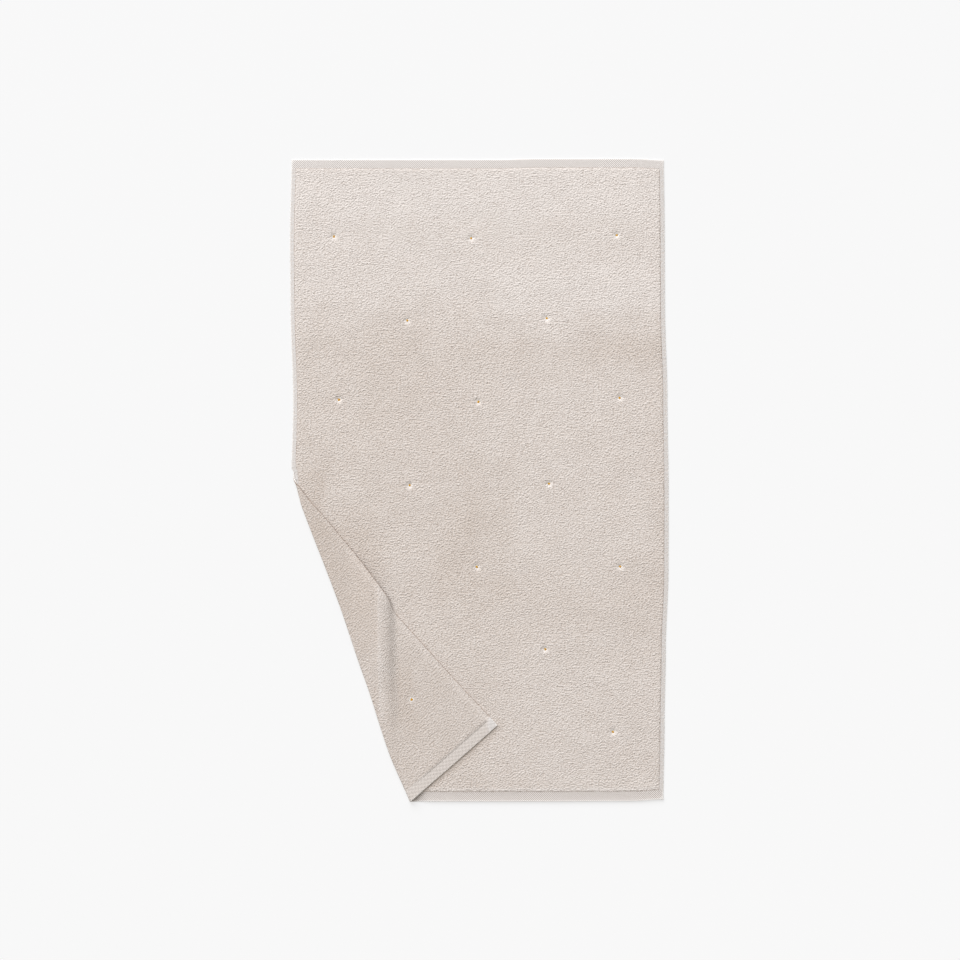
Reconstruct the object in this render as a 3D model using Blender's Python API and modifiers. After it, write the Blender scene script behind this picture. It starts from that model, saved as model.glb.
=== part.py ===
"""Bath towel of cotton terry, 70 x 120 cm, lying flat with one corner folded over its front.

The cloth is one closed solid.  It is cut as a flat slab from a grid, its hems are made thinner than its
looped middle, and every point of the slab is then laid: along the floor, round the fold, and back over
the front, where a soft ridge runs down the folded corner.  Eighteen short thread tacks are sewn through
the cloth, each in a dimple of the front and a small recess of the back.

Flat positions are (across, along) from the middle of the uncut cloth.  Depth is measured from the back
face of the cloth.  The towel lies with its back on z = 0.
"""

import math
from collections import namedtuple

import bmesh
import bpy
from mathutils import Matrix, Vector

# ---- Driving dimensions, in metres -------------------------------------------------------------------

WIDTH = 0.700            # flat size of the cloth
LENGTH = 1.200
PILE_DEPTH = 0.0042      # thickness with the loops of both faces
TOP_HEM_WIDE = 0.0172    # flat woven bands at the two ends
BOTTOM_HEM_WIDE = 0.0189
END_HEM_DEPTH = 0.0030
SIDE_HEM_WIDE = 0.0085   # narrow turned hems at the two sides
SIDE_HEM_DEPTH = 0.0032
PILE_SHOULDER = 0.0012   # width over which the pile rises beside a hem

TURNED_UP = 0.612        # length of the side edge that is folded over
TURNED_IN = 0.226        # length of the end edge that is folded over
FOLD_INSIDE = 0.0011     # inside radius of the fold
FOLD_OUTSIDE = FOLD_INSIDE + PILE_DEPTH
FOLD_TAKES = math.pi * (FOLD_INSIDE + PILE_DEPTH / 2)   # length of cloth that goes round the fold
FOLD_STEPS = 8
SETTLE_DROP = 0.0016     # how far the upper layer sinks once it is away from the fold
SETTLE_OVER = 0.030
HEM_DROOP_OVER = 0.060   # distance from the fold over which the upper hem sinks onto the pile
WAVER_FADES = 0.060      # how far the unevenness of the fold reaches into the cloth

RIDGE_RISE = 0.065       # width of the gentle side of the ridge
RIDGE_LEAN = 1.8         # how far the steep side hangs back: its steepest place is nearer its foot
RIDGE_PULL = 0.013       # cloth that the ridge draws in at its high end
PULL_FROM = -0.541       # height on the towel where this drawing-in starts
PULL_FULL = -0.213
PULL_STARTS = 0.4        # share of the steep side that is passed before the cloth is drawn in
RIDGE_FADES = 0.040      # distance from the fold over which the ridge comes up

TACK_ROWS = 7
TACK_ROW_GAP = 0.1545
TACK_COLUMN_GAP = 0.264
TACKS_IN_LONG_ROW = 3
TACK_MIDDLE = (-0.0035, -0.0060)
TACK_SIDES = 12
DIMPLE_RADIUS = 0.011
DIMPLE_FLOOR = 0.0021    # depth of cloth left under a dimple
DIMPLE_CURVE = 1.6
DIMPLE_RINGS = 3
HOLE_RADIUS = 0.0008
RECESS_RADIUS = 0.0024
RECESS_ROOF = 0.0009
KNOT_RADIUS = 0.0018
KNOT_UNDER = 0.0025
KNOT_TOP = 0.0039
KNOT_CROWN = 0.6         # share of the knot's radius that its rounded top reaches
KNOT_CROWN_DROP = 0.18   # and how far this lies under the top, as a share of the knot's height
KNOT_FOOT = 0.8          # share of the knot's radius at its foot
SHANK_RADIUS = 0.0005
BACK_STITCH_RADIUS = 0.0017
BACK_STITCH_UNDER = 0.0001
BACK_STITCH_TOP = 0.0006
CUTTER_SPARE = 0.00025   # how far a cutter stands out of the face that it cuts

GRID_STEP = 0.050        # spacing of the grid that the slab is cut from
FLAP_STEP = 0.025        # spacing of the cuts across the ridge
FLAP_CUTS = (0.010, 0.020, 0.030, 0.045)   # distances of the cuts beside the fold, in the upper layer

# Unevenness of the two long edges, towards +X, at heights along the towel.
EdgeRow = namedtuple("EdgeRow", "along left right")
EDGE_ROWS = (
    EdgeRow(along=-0.60, left=0.0000, right=-0.0037),
    EdgeRow(along=-0.46, left=0.0025, right=-0.0010),
    EdgeRow(along=-0.32, left=0.0026, right=0.0015),
    EdgeRow(along=-0.17, left=-0.0038, right=0.0055),
    EdgeRow(along=-0.10, left=-0.0045, right=0.0057),
    EdgeRow(along=-0.02, left=-0.0020, right=0.0058),
    EdgeRow(along=0.15, left=0.0030, right=0.0035),
    EdgeRow(along=0.33, left=-0.0020, right=-0.0010),
    EdgeRow(along=0.45, left=-0.0030, right=-0.0015),
    EdgeRow(along=0.60, left=0.0000, right=-0.0030),
)

# Unevenness of the two ends, towards +Y, at places across the towel.
EndRow = namedtuple("EndRow", "along bottom top")
END_ROWS = (
    EndRow(along=-0.35, bottom=-0.0004, top=0.0000),
    EndRow(along=0.04, bottom=-0.0006, top=0.0000),
    EndRow(along=0.11, bottom=-0.0006, top=0.0026),
    EndRow(along=0.29, bottom=-0.0004, top=0.0028),
    EndRow(along=0.35, bottom=0.0028, top=0.0000),
)

# Unevenness of the fold: how far it lies inward of a straight line, at fractions of its length.
FoldRow = namedtuple("FoldRow", "along inward")
FOLD_ROWS = (
    FoldRow(along=-0.02, inward=0.0000),
    FoldRow(along=0.00, inward=0.0045),
    FoldRow(along=0.03, inward=0.0060),
    FoldRow(along=0.10, inward=0.0025),
    FoldRow(along=0.38, inward=0.0048),
    FoldRow(along=0.62, inward=0.0010),
    FoldRow(along=0.85, inward=-0.0042),
    FoldRow(along=1.00, inward=0.0005),
)

# The ridge on the folded corner, from its low end to the edge of the cloth.
RidgeRow = namedtuple("RidgeRow", "along crest foot height")
RIDGE_ROWS = (
    RidgeRow(along=-0.485, crest=-0.180, foot=-0.147, height=0.000),
    RidgeRow(along=-0.410, crest=-0.185, foot=-0.149, height=0.008),
    RidgeRow(along=-0.340, crest=-0.186, foot=-0.152, height=0.012),
    RidgeRow(along=-0.190, crest=-0.187, foot=-0.154, height=0.013),
)

# Where the cuts beside the ridge lie, from its crest.
RIDGE_CUTS = (-0.060, -0.046, -0.032, -0.020, -0.010, 0.000, 0.008, 0.015, 0.022, 0.029, 0.036, 0.043, 0.050)

# How far single tacks stray from the even grid, by row from the top and column from the left.
TackRow = namedtuple("TackRow", "row column across along")
TACK_STRAYS = (
    TackRow(row=0, column=1, across=-0.0075, along=-0.0035),
    TackRow(row=1, column=0, across=0.0035, along=-0.0030),
    TackRow(row=2, column=0, across=0.0035, along=0.0040),
    TackRow(row=2, column=2, across=0.0005, along=0.0060),
    TackRow(row=3, column=0, across=0.0060, along=-0.0020),
    TackRow(row=5, column=1, across=-0.0055, along=0.0005),
    TackRow(row=6, column=0, across=0.0040, along=0.0090),
    TackRow(row=6, column=2, across=-0.0080, along=0.0005),
)


# ---- Small helpers -----------------------------------------------------------------------------------

def ease(value):
    """A smooth step from 0 to 1."""
    q = min(max(value, 0.0), 1.0)
    return q * q * (3.0 - 2.0 * q)


def read_row(rows, column, along):
    """The value of a table's column at a place along it, eased between its rows."""
    place = min(max(along, rows[0].along), rows[-1].along)
    for low, high in zip(rows, rows[1:]):
        if place <= high.along:
            share = ease((place - low.along) / (high.along - low.along))
            return getattr(low, column) * (1.0 - share) + getattr(high, column) * share
    return getattr(rows[-1], column)


# ---- How the cloth lies ------------------------------------------------------------------------------

FOLD_TOP = Vector((-WIDTH / 2, TURNED_UP - LENGTH / 2))
FOLD_END = Vector((TURNED_IN - WIDTH / 2, -LENGTH / 2))
FOLD_LENGTH = (FOLD_END - FOLD_TOP).length
FOLD_ALONG = (FOLD_END - FOLD_TOP).normalized()
FOLD_INTO = Vector((-FOLD_ALONG.y, FOLD_ALONG.x))        # from the fold towards the middle of the towel


def cloth_depth(across, along):
    """Thickness of the cloth at a flat place."""
    in_from_side = WIDTH / 2 - abs(across) - SIDE_HEM_WIDE
    in_from_end = min(LENGTH / 2 - along - TOP_HEM_WIDE, LENGTH / 2 + along - BOTTOM_HEM_WIDE)
    side_share = min(max(in_from_side / PILE_SHOULDER, 0.0), 1.0)
    end_share = min(max(in_from_end / PILE_SHOULDER, 0.0), 1.0)
    by_side = SIDE_HEM_DEPTH + (PILE_DEPTH - SIDE_HEM_DEPTH) * side_share
    by_end = END_HEM_DEPTH + (PILE_DEPTH - END_HEM_DEPTH) * end_share
    return min(by_side, by_end)


def uneven(across, along):
    """The flat place, moved as the four edges wander."""
    to_right = (across + WIDTH / 2) / WIDTH
    left = read_row(EDGE_ROWS, "left", along)
    right = read_row(EDGE_ROWS, "right", along)
    to_top = (along + LENGTH / 2) / LENGTH
    bottom = read_row(END_ROWS, "bottom", across) * (1.0 - to_top) ** 2
    top = read_row(END_ROWS, "top", across) * to_top ** 2
    return Vector((across + left * (1.0 - to_right) + right * to_right, along + bottom + top))


def fold_place(flat):
    """Distance of a flat place along the fold, and from it towards the middle of the towel."""
    offset = flat - FOLD_TOP
    return offset.dot(FOLD_ALONG), offset.dot(FOLD_INTO)


def ridge_height(place):
    """Height of the ridge over the folded corner at a place on the floor plan."""
    height = read_row(RIDGE_ROWS, "height", place.y)
    crest = read_row(RIDGE_ROWS, "crest", place.y)
    foot = read_row(RIDGE_ROWS, "foot", place.y)
    if place.x < crest:
        return height * ease(1.0 + (place.x - crest) / RIDGE_RISE)
    return height * (1.0 - ease(((place.x - crest) / (foot - crest)) ** RIDGE_LEAN))


def draw_in(place):
    """The folded corner beyond the ridge, drawn towards it."""
    crest = read_row(RIDGE_ROWS, "crest", place.y)
    foot = read_row(RIDGE_ROWS, "foot", place.y)
    pull = RIDGE_PULL * min(max((place.y - PULL_FROM) / (PULL_FULL - PULL_FROM), 0.0), 1.0)
    start = crest + PULL_STARTS * (foot - crest)
    beyond = (place.x - start) / (foot + pull - start)
    return Vector((place.x - pull * ease(beyond), place.y))


def lay(across, along, depth):
    """Where a point of the flat cloth lies, at a depth above the back face of the cloth."""
    slip, into = fold_place(uneven(across, along))
    turn = math.pi * min(max(-into / FOLD_TAKES, 0.0), 1.0)
    reach = FOLD_OUTSIDE - depth
    if turn <= 0.0:
        distance, height = into, depth
    elif turn < math.pi:
        distance, height = -reach * math.sin(turn), FOLD_OUTSIDE - reach * math.cos(turn)
    else:
        distance, height = -into - FOLD_TAKES, FOLD_OUTSIDE + reach
    inward = read_row(FOLD_ROWS, "inward", slip / FOLD_LENGTH) * math.exp(-(distance / WAVER_FADES) ** 2)
    place = FOLD_TOP + FOLD_ALONG * slip + FOLD_INTO * (distance + inward)
    if turn >= math.pi:
        thinner = PILE_DEPTH - cloth_depth(across, along)
        height -= SETTLE_DROP * ease(distance / SETTLE_OVER)
        height -= thinner * ease(distance / HEM_DROOP_OVER)
        place = draw_in(place)
        height += ridge_height(place) * ease(distance / RIDGE_FADES)
    return Vector((place.x, place.y, height))


# ---- Blender scene, materials and meshes -------------------------------------------------------------

def clear_scene():
    for old in list(bpy.data.objects):
        bpy.data.objects.remove(old, do_unlink=True)


def make_collection(name):
    collection = bpy.data.collections.new(name)
    bpy.context.scene.collection.children.link(collection)
    return collection


def make_material(name, colour, roughness):
    material = bpy.data.materials.new(name)
    material.use_nodes = True
    shader = material.node_tree.nodes["Principled BSDF"]
    shader.inputs["Base Color"].default_value = (*colour, 1.0)
    shader.inputs["Roughness"].default_value = roughness
    shader.inputs["Metallic"].default_value = 0.0
    material.diffuse_color = (*colour, 1.0)
    return material


def add_object(name, mesh, collection, material=None):
    piece = bpy.data.objects.new(name, mesh)
    collection.objects.link(piece)
    if material is not None:
        mesh.materials.append(material)
    return piece


def cut(bm, point, normal, faces=None):
    """Cut the faces along a line of the flat sheet."""
    geometry = list(bm.verts) + list(bm.edges) + list(bm.faces)
    if faces is not None:
        edges = {edge for face in faces for edge in face.edges}
        geometry = list(faces) + list(edges) + list({vert for edge in edges for vert in edge.verts})
    bmesh.ops.bisect_plane(bm, geom=geometry, dist=1e-6, plane_co=point.to_3d(), plane_no=normal.to_3d())


def cut_hems(bm):
    """Lines at the inner side of each hem and at the top of the pile beside it."""
    for width in (SIDE_HEM_WIDE, SIDE_HEM_WIDE + PILE_SHOULDER):
        for side in (-1, 1):
            cut(bm, Vector((side * (WIDTH / 2 - width), 0.0)), Vector((1.0, 0.0)))
    for side, hem in ((-1, BOTTOM_HEM_WIDE), (1, TOP_HEM_WIDE)):
        for width in (hem, hem + PILE_SHOULDER):
            cut(bm, Vector((0.0, side * (LENGTH / 2 - width))), Vector((0.0, 1.0)))


def cut_fold(bm):
    """Lines along the fold, close enough to turn the cloth round it."""
    for step in range(FOLD_STEPS + 1):
        cut(bm, FOLD_TOP - FOLD_INTO * (FOLD_TAKES * step / FOLD_STEPS), FOLD_INTO)


def clear_flap(bm):
    """Take the grid out of the upper layer, which gets lines of its own."""
    bmesh.ops.dissolve_faces(bm, faces=flap_faces(bm), use_verts=False)
    for distance in FLAP_CUTS:
        cut(bm, FOLD_TOP - FOLD_INTO * (FOLD_TAKES + distance), FOLD_INTO, flap_faces(bm))


def flap_faces(bm):
    """The faces of the flat sheet that end up in the upper layer."""
    return [face for face in bm.faces
            if fold_place(face.calc_center_median().to_2d())[1] < -FOLD_TAKES]


def unfold(place):
    """The flat place that the folded corner lays at a place on the floor plan, before the ridge."""
    slip, into = fold_place(place)
    return FOLD_TOP + FOLD_ALONG * slip - FOLD_INTO * (into + FOLD_TAKES)


def cut_ridge(bm):
    """Lines beside the ridge and across it, on the folded corner only."""
    middle = RIDGE_ROWS[-2]
    origin = unfold(Vector((0.0, 0.0)))
    to_right = unfold(Vector((1.0, 0.0))) - origin
    to_top = unfold(Vector((0.0, 1.0))) - origin
    for offset in RIDGE_CUTS:
        cut(bm, unfold(Vector((middle.crest + offset, middle.along))), to_right, flap_faces(bm))
    lines = int((RIDGE_ROWS[-1].along - RIDGE_ROWS[0].along) / FLAP_STEP) + 1
    for line in range(lines):
        height = RIDGE_ROWS[0].along + line * FLAP_STEP
        cut(bm, unfold(Vector((middle.crest, height))), to_top, flap_faces(bm))


def make_slab():
    """The flat cloth as a closed slab, with the cuts that it is laid by."""
    bm = bmesh.new()
    bmesh.ops.create_grid(bm, x_segments=round(WIDTH / GRID_STEP), y_segments=round(LENGTH / GRID_STEP),
                          size=0.5, matrix=Matrix.Diagonal((WIDTH, LENGTH, 1.0, 1.0)))
    cut_fold(bm)
    clear_flap(bm)
    cut_ridge(bm)
    cut_hems(bm)
    bmesh.ops.triangulate(bm, faces=bm.faces)
    bottom = list(bm.faces)
    bmesh.ops.reverse_faces(bm, faces=bottom)
    raised = bmesh.ops.extrude_face_region(bm, geom=bottom, use_keep_orig=True)
    top = [item for item in raised["geom"] if isinstance(item, bmesh.types.BMVert)]
    bmesh.ops.translate(bm, verts=top, vec=(0.0, 0.0, PILE_DEPTH))
    return bm


def make_cloth(collection, material):
    bm = make_slab()
    for vert in bm.verts:
        across, along, raised = vert.co
        depth = raised / PILE_DEPTH * cloth_depth(across, along)
        vert.co = lay(across, along, depth)
    bmesh.ops.recalc_face_normals(bm, faces=bm.faces)
    bmesh.ops.triangulate(bm, faces=[face for face in bm.faces if len(face.verts) > 3])
    mesh = bpy.data.meshes.new("towel_cloth")
    bm.to_mesh(mesh)
    bm.free()
    return add_object("towel_cloth", mesh, collection, material)


def turned_mesh(name, profile):
    """A closed turned body round Z, from (radius, height) points that start and end on the axis."""
    mesh = bpy.data.meshes.new(name)
    points = [(radius, 0.0, height) for radius, height in profile]
    mesh.from_pydata(points, [(i, i + 1) for i in range(len(points) - 1)], [])
    line = bpy.data.objects.new(name, mesh)
    bpy.context.scene.collection.objects.link(line)
    screw = line.modifiers.new("turn", "SCREW")
    screw.axis = "Z"
    screw.angle = 2 * math.pi
    screw.steps = TACK_SIDES
    screw.render_steps = TACK_SIDES
    screw.use_merge_vertices = True
    screw.merge_threshold = 1e-5
    solid = bpy.data.meshes.new_from_object(line.evaluated_get(bpy.context.evaluated_depsgraph_get()))
    bpy.data.objects.remove(line, do_unlink=True)
    bm = bmesh.new()
    bm.from_mesh(solid)
    bmesh.ops.remove_doubles(bm, verts=bm.verts, dist=1e-6)
    bmesh.ops.recalc_face_normals(bm, faces=bm.faces)
    bm.to_mesh(solid)
    bm.free()
    solid.name = name
    return solid


def tack_profile():
    """Knot in the dimple, shank through the cloth, small stitch in the recess of the back."""
    return (
        (0.0, KNOT_TOP),
        (KNOT_RADIUS * KNOT_CROWN, KNOT_TOP - (KNOT_TOP - KNOT_UNDER) * KNOT_CROWN_DROP),
        (KNOT_RADIUS, (KNOT_TOP + KNOT_UNDER) / 2),
        (KNOT_RADIUS * KNOT_FOOT, KNOT_UNDER),
        (SHANK_RADIUS, KNOT_UNDER),
        (SHANK_RADIUS, BACK_STITCH_TOP),
        (BACK_STITCH_RADIUS, BACK_STITCH_TOP),
        (BACK_STITCH_RADIUS, BACK_STITCH_UNDER),
        (0.0, BACK_STITCH_UNDER),
    )


def hollow_profile():
    """Dimple of the front, hole for the shank and recess of the back, as one cutting body."""
    profile = [(0.0, PILE_DEPTH + CUTTER_SPARE), (DIMPLE_RADIUS, PILE_DEPTH + CUTTER_SPARE)]
    for ring in range(DIMPLE_RINGS, 0, -1):
        share = ring / DIMPLE_RINGS
        rise = (PILE_DEPTH - DIMPLE_FLOOR) * share ** DIMPLE_CURVE
        profile.append((HOLE_RADIUS + (DIMPLE_RADIUS - HOLE_RADIUS) * share, DIMPLE_FLOOR + rise))
    profile += [
        (HOLE_RADIUS, DIMPLE_FLOOR),
        (HOLE_RADIUS, RECESS_ROOF),
        (RECESS_RADIUS, RECESS_ROOF),
        (RECESS_RADIUS, -CUTTER_SPARE),
        (0.0, -CUTTER_SPARE),
    ]
    return profile


def tack_places():
    """Flat places of the tacks, in rows of three and two from the top."""
    strays = {(stray.row, stray.column): stray for stray in TACK_STRAYS}
    places = []
    for row in range(TACK_ROWS):
        count = TACKS_IN_LONG_ROW - row % 2
        for column in range(count):
            across = TACK_MIDDLE[0] + (column - (count - 1) / 2) * TACK_COLUMN_GAP
            along = TACK_MIDDLE[1] + ((TACK_ROWS - 1) / 2 - row) * TACK_ROW_GAP
            stray = strays.get((row, column))
            if stray is not None:
                across += stray.across
                along += stray.along
            places.append((across, along))
    return places


def tack_matrix(across, along):
    """Where a tack stands: upright in the lower layer, upside down in the folded corner."""
    back = lay(across, along, 0.0)
    front = lay(across, along, PILE_DEPTH)
    turned = Matrix.Rotation(math.pi, 4, "X") if front.z < back.z else Matrix.Identity(4)
    return Matrix.Translation(back) @ turned


def make_tacks(collection, material):
    mesh = turned_mesh("thread_tack", tack_profile())
    mesh.materials.append(material)
    for number, (across, along) in enumerate(tack_places(), start=1):
        tack = add_object(f"thread_tack_{number:02d}", mesh, collection)
        tack.matrix_world = tack_matrix(across, along)


def cut_hollows(cloth, cutters):
    """Cut a dimple, hole and recess for each tack."""
    mesh = turned_mesh("tack_hollow", hollow_profile())
    for number, (across, along) in enumerate(tack_places(), start=1):
        cutter = add_object(f"tack_hollow_{number:02d}", mesh, cutters)
        cutter.matrix_world = tack_matrix(across, along)
        cutter.hide_render = True
        cutter.display_type = "WIRE"
    boolean = cloth.modifiers.new("tack hollows", "BOOLEAN")
    boolean.operation = "DIFFERENCE"
    boolean.operand_type = "COLLECTION"
    boolean.collection = cutters
    boolean.solver = "EXACT"


def centre_on_origin(cloth, collections):
    """Move everything so that the middle of the cloth's outline stands on the origin."""
    corners = [cloth.matrix_world @ Vector(corner) for corner in cloth.bound_box]
    middle_x = (min(c.x for c in corners) + max(c.x for c in corners)) / 2
    middle_y = (min(c.y for c in corners) + max(c.y for c in corners)) / 2
    for collection in collections:
        for piece in collection.objects:
            piece.matrix_world = Matrix.Translation((-middle_x, -middle_y, 0.0)) @ piece.matrix_world


def main():
    clear_scene()
    towel = make_collection("bath_towel")
    cutters = make_collection("bath_towel_cutters")
    terry = make_material("cotton terry, undyed", (0.68, 0.62, 0.57), 0.95)
    thread = make_material("cotton thread, orange", (0.62, 0.28, 0.06), 0.75)
    cloth = make_cloth(towel, terry)
    make_tacks(towel, thread)
    cut_hollows(cloth, cutters)
    bpy.context.view_layer.update()
    centre_on_origin(cloth, (towel, cutters))


main()
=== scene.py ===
"""Bath towel of cotton terry, lying flat with one corner folded over its front: its looks.

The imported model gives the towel's box and the places of its eighteen thread tacks.  This script makes
the finished cloth in the space of the plain CAD cloth, sews its hem stitches, ties its tacks, and sets a
pale floor, soft lights and a camera straight above.

Flat places are (across, along) from the middle of the uncut cloth, in metres.  Depth is measured from
the back face of the cloth.  The towel lies with its back on z = 0.
"""

import math
from collections import namedtuple

import bmesh
import bpy
import numpy as np
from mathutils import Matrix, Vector


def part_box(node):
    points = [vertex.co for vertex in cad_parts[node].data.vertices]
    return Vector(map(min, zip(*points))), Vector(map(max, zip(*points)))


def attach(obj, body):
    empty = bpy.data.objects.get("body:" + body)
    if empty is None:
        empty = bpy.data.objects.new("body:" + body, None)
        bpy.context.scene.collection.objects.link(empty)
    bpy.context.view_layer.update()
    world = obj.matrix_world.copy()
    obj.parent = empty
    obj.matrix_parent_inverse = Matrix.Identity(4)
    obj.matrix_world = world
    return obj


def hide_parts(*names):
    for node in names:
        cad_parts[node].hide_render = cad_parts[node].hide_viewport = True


bl_info = {
    "name": "Bath Towel",
    "version": (1, 0, 0),
    "blender": (4, 5, 0),
    "location": "3D View > Sidebar > Towel",
    "description": "Makes a terry bath towel with one corner folded over",
    "category": "Object",
}

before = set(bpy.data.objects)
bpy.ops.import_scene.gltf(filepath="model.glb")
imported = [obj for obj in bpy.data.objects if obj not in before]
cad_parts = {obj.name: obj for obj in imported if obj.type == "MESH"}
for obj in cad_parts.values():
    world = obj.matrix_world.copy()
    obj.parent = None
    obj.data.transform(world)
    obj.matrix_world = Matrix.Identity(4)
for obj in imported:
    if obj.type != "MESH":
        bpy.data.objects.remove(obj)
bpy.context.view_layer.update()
CLOTH_NODE = "towel_cloth"
TACK_NODES = sorted(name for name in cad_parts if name.startswith("thread_tack"))
BODY = "root"


def table(columns, *rows):
    """The rows of a table, with its columns named."""
    row = namedtuple("row", columns)
    return [row(*values) for values in rows]


# ---- Driving dimensions, in metres ----

WIDTH = 0.700            # flat size of the cloth
LENGTH = 1.200
PILE_DEPTH = 0.0042      # thickness with the loops of both faces
TOP_HEM_WIDE = 0.0172    # flat woven bands at the two ends
BOTTOM_HEM_WIDE = 0.0189
TOP_HEM_DEPTH = 0.0030
BOTTOM_HEM_DEPTH = 0.0033
END_HEM_SLOPE = 0.03     # how steeply an end hem thins towards the edge
SIDE_HEM_WIDE = 0.0085   # narrow turned hems at the two sides
SIDE_HEM_DEPTH = 0.0032
SIDE_HEM_SLOPE = 0.10
BOTTOM_CURL = 0.0018     # how far the free bottom edge stands off the floor, and over what width
BOTTOM_CURL_WIDE = 0.006
BOTTOM_CURL_FADES = 0.030   # distance from the fold over which this curl comes up
BACK_WIDER = 0.0028      # how much wider every hem is on the back
RIM = 0.0009             # how far the rounding of the cloth's outer edge reaches

TURNED_UP = 0.612        # length of the side edge that is folded over
TURNED_IN = 0.226        # length of the end edge that is folded over
FOLD_INSIDE = 0.0011     # inside radius of the fold
FOLD_OUTSIDE = FOLD_INSIDE + PILE_DEPTH
FOLD_TAKES = math.pi * (FOLD_INSIDE + PILE_DEPTH / 2)   # length of cloth that goes round the fold
SETTLE_DROP = 0.0016     # how far the upper layer sinks once it is away from the fold
SETTLE_OVER = 0.030
HEM_DROOP = 1.25         # how far the upper hem sinks onto the pile, as a share of what it is thinner
HEM_DROOP_OVER = 0.060   # and the distance from the fold over which it does
WAVER_FADES = 0.060      # how far the unevenness of the fold reaches into the cloth

RIDGE_RISE = 0.065       # width of the gentle side of the ridge
RIDGE_LEAN = 1.8         # how far the steep side hangs back: its steepest place is nearer its foot
LIP_RISE = 0.0009        # the narrow lip along the crest, where the cloth was pinched
LIP_WIDE = 0.0050
LIP_FADES = 0.020
LIP_NEEDS = 0.008        # height of the ridge from which the lip is full
LIP_DIP = 0.4            # depth of the hollow before the lip, as a share of its rise
LIP_DIP_BEFORE = 0.0080  # and how far before the crest it lies
RIDGE_PULL = 0.013       # cloth that the ridge draws in at its high end
PULL_FROM = -0.541       # height on the towel where this drawing-in starts
PULL_FULL = -0.213
PULL_STARTS = 0.4        # share of the steep side that is passed before the cloth is drawn in
RIDGE_FADES = 0.040      # distance from the fold over which the ridge comes up

MESH_ACROSS = 0.0062     # spacing of the mesh where the cloth shows: longer than high, as loops lie
MESH_ALONG = 0.00195
BLOCK_ACROSS = 2         # lines of that mesh to a face where the cloth is hidden
BLOCK_ALONG = 8
HIDDEN_MARGIN = 0.024    # how far under the folded corner the fine mesh still goes
FOLD_SHOWS = 0.004       # how far past the fold the back of the cloth is finely meshed
FOLD_MARGIN = 0.003      # how far past the fold's upper end the mesh is finer still
TACK_MARGIN = 0.012      # how far round a hidden tack the fine mesh goes
SEAM_MARGIN = 0.002      # how far beside an end seam the mesh is finer still
SAME_LINE = 1e-6         # how level an edge that runs across the cloth is
CUT_FROM = 0.6           # length from which it is cut, as a share of MESH_ACROSS
HEM_LINES = 3            # mesh lines over a hem, from just inside its rim
HEM_LINES_FROM = 1.7     # where they start, and the extra line on the rim, as shares of RIM
RIM_LINE = 0.3
MAP_WIDE = 0.97          # share of the width of its half of the map that each face fills
MAP_HIGH = 1.02          # height of the map, in lengths of the cloth

PILE_STARTS = 0.004      # distance from a seam over which the relief of the pile comes up
FLOW_STARTS = 0.030      # distance from the hems over which the rows of loops start to wander
SHUFFLE = 0.0012         # how far loops are moved along their row
BACK_RELIEF = 0.6        # relief of the back, as a share of the front's
DIMPLE_CURVE = 1.3       # how hollow the sides of a dimple are
PULLED_HIGHLIGHT_CURVE = 1.5       # how close to the tack its loops are stretched, paler, with a painted highlight
FACES_APART = 0.05       # distance of the two faces in the space of the patterns

# The noises of the cloth: how wide and how high their humps are, and their seeds.
STROKES = (MESH_ACROSS, MESH_ALONG, 11)    # single loops
CLUMPS = (0.014, 0.007, 12)                # clumps of loops
SWELL = (0.070, 0.050, 13)                 # soft swell of the pile
DRIFT = (0.060, 0.080, 21)                 # wandering of the rows of loops
FINE_DRIFT = (0.025, 0.050, 22)
SHUFFLED = (MESH_ACROSS, MESH_ALONG, 23)   # loops out of place along their row
FRAY = (0.0031, 0.0031, 31)                # loops over or short of a seam
NAP_ASIDE = (0.030, 0.050, 51)             # borders of the nap's patches
NAP_UP = (0.050, 0.030, 52)

STITCH_SEED = 41
STITCH_LONG = (0.85, 1.1)   # shortest and longest stitch, in stitch lengths
STITCH_ASKEW = 0.06      # how far stitches turn out of line, in radians
STITCH_PROUD = 0.25      # how far they stand proud at most, in thicknesses of the thread
BACK_SUNK = 0.4          # how far the back's stitches are sunk in the pile, in thicknesses
SEAM_INSET = 1.2         # how far a row of stitches lies inside its hem, in thicknesses
BEAD_RING = 0.3          # where a stitch starts to dive, from its middle, in stitch lengths
BEAD_SUNK = 0.4          # how deep its ends go, in thicknesses

SHANK_WIDE = 0.6         # radius of a tack's shank, in thicknesses of its thread
SHANK_OVER = 0.8         # how far it stands out of the front and of the back, in thicknesses
SHANK_UNDER = 0.1
SHANK_BEVEL = 0.12
CORNER_STEP = 0.002      # spacing of the points where the folded corner's height is looked up
CORNER_RIGHT = 0.0       # and the part of the flat cloth that they cover, from its lower left
CORNER_TOP = 0.1

FLOOR_SIZE = 40.0        # wide enough that its edge never shows
SENSOR_WIDE = 36.0       # of the camera, in millimetres
CAMERA_ASIDE = (0.0015, 0.0009)   # how far the camera stands off the middle of the towel

FLOOR_LIT = 1.13         # brightness that the stage's lights give to a white floor
FLOOR_LIFT = 0.022       # what the floor's own light is raised by, in the middle of the towel
FLOOR_RISES = (0.0125, -0.0293, 0.0)   # and by how much more a metre, away from the main light
FLOOR_RISES_MOST = 0.036

# Unevenness of the two long edges, towards +X, at heights along the towel.
EDGE_ROWS = table(
    "along left right",
    (-0.60, 0.0000, -0.0037),
    (-0.46, 0.0025, -0.0018),
    (-0.32, 0.0026, 0.0004),
    (-0.17, -0.0025, 0.0055),
    (-0.10, -0.0030, 0.0057),
    (-0.02, -0.0008, 0.0058),
    (0.15, 0.0030, 0.0035),
    (0.33, -0.0020, -0.0010),
    (0.45, -0.0030, -0.0015),
    (0.60, 0.0000, -0.0030))

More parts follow.
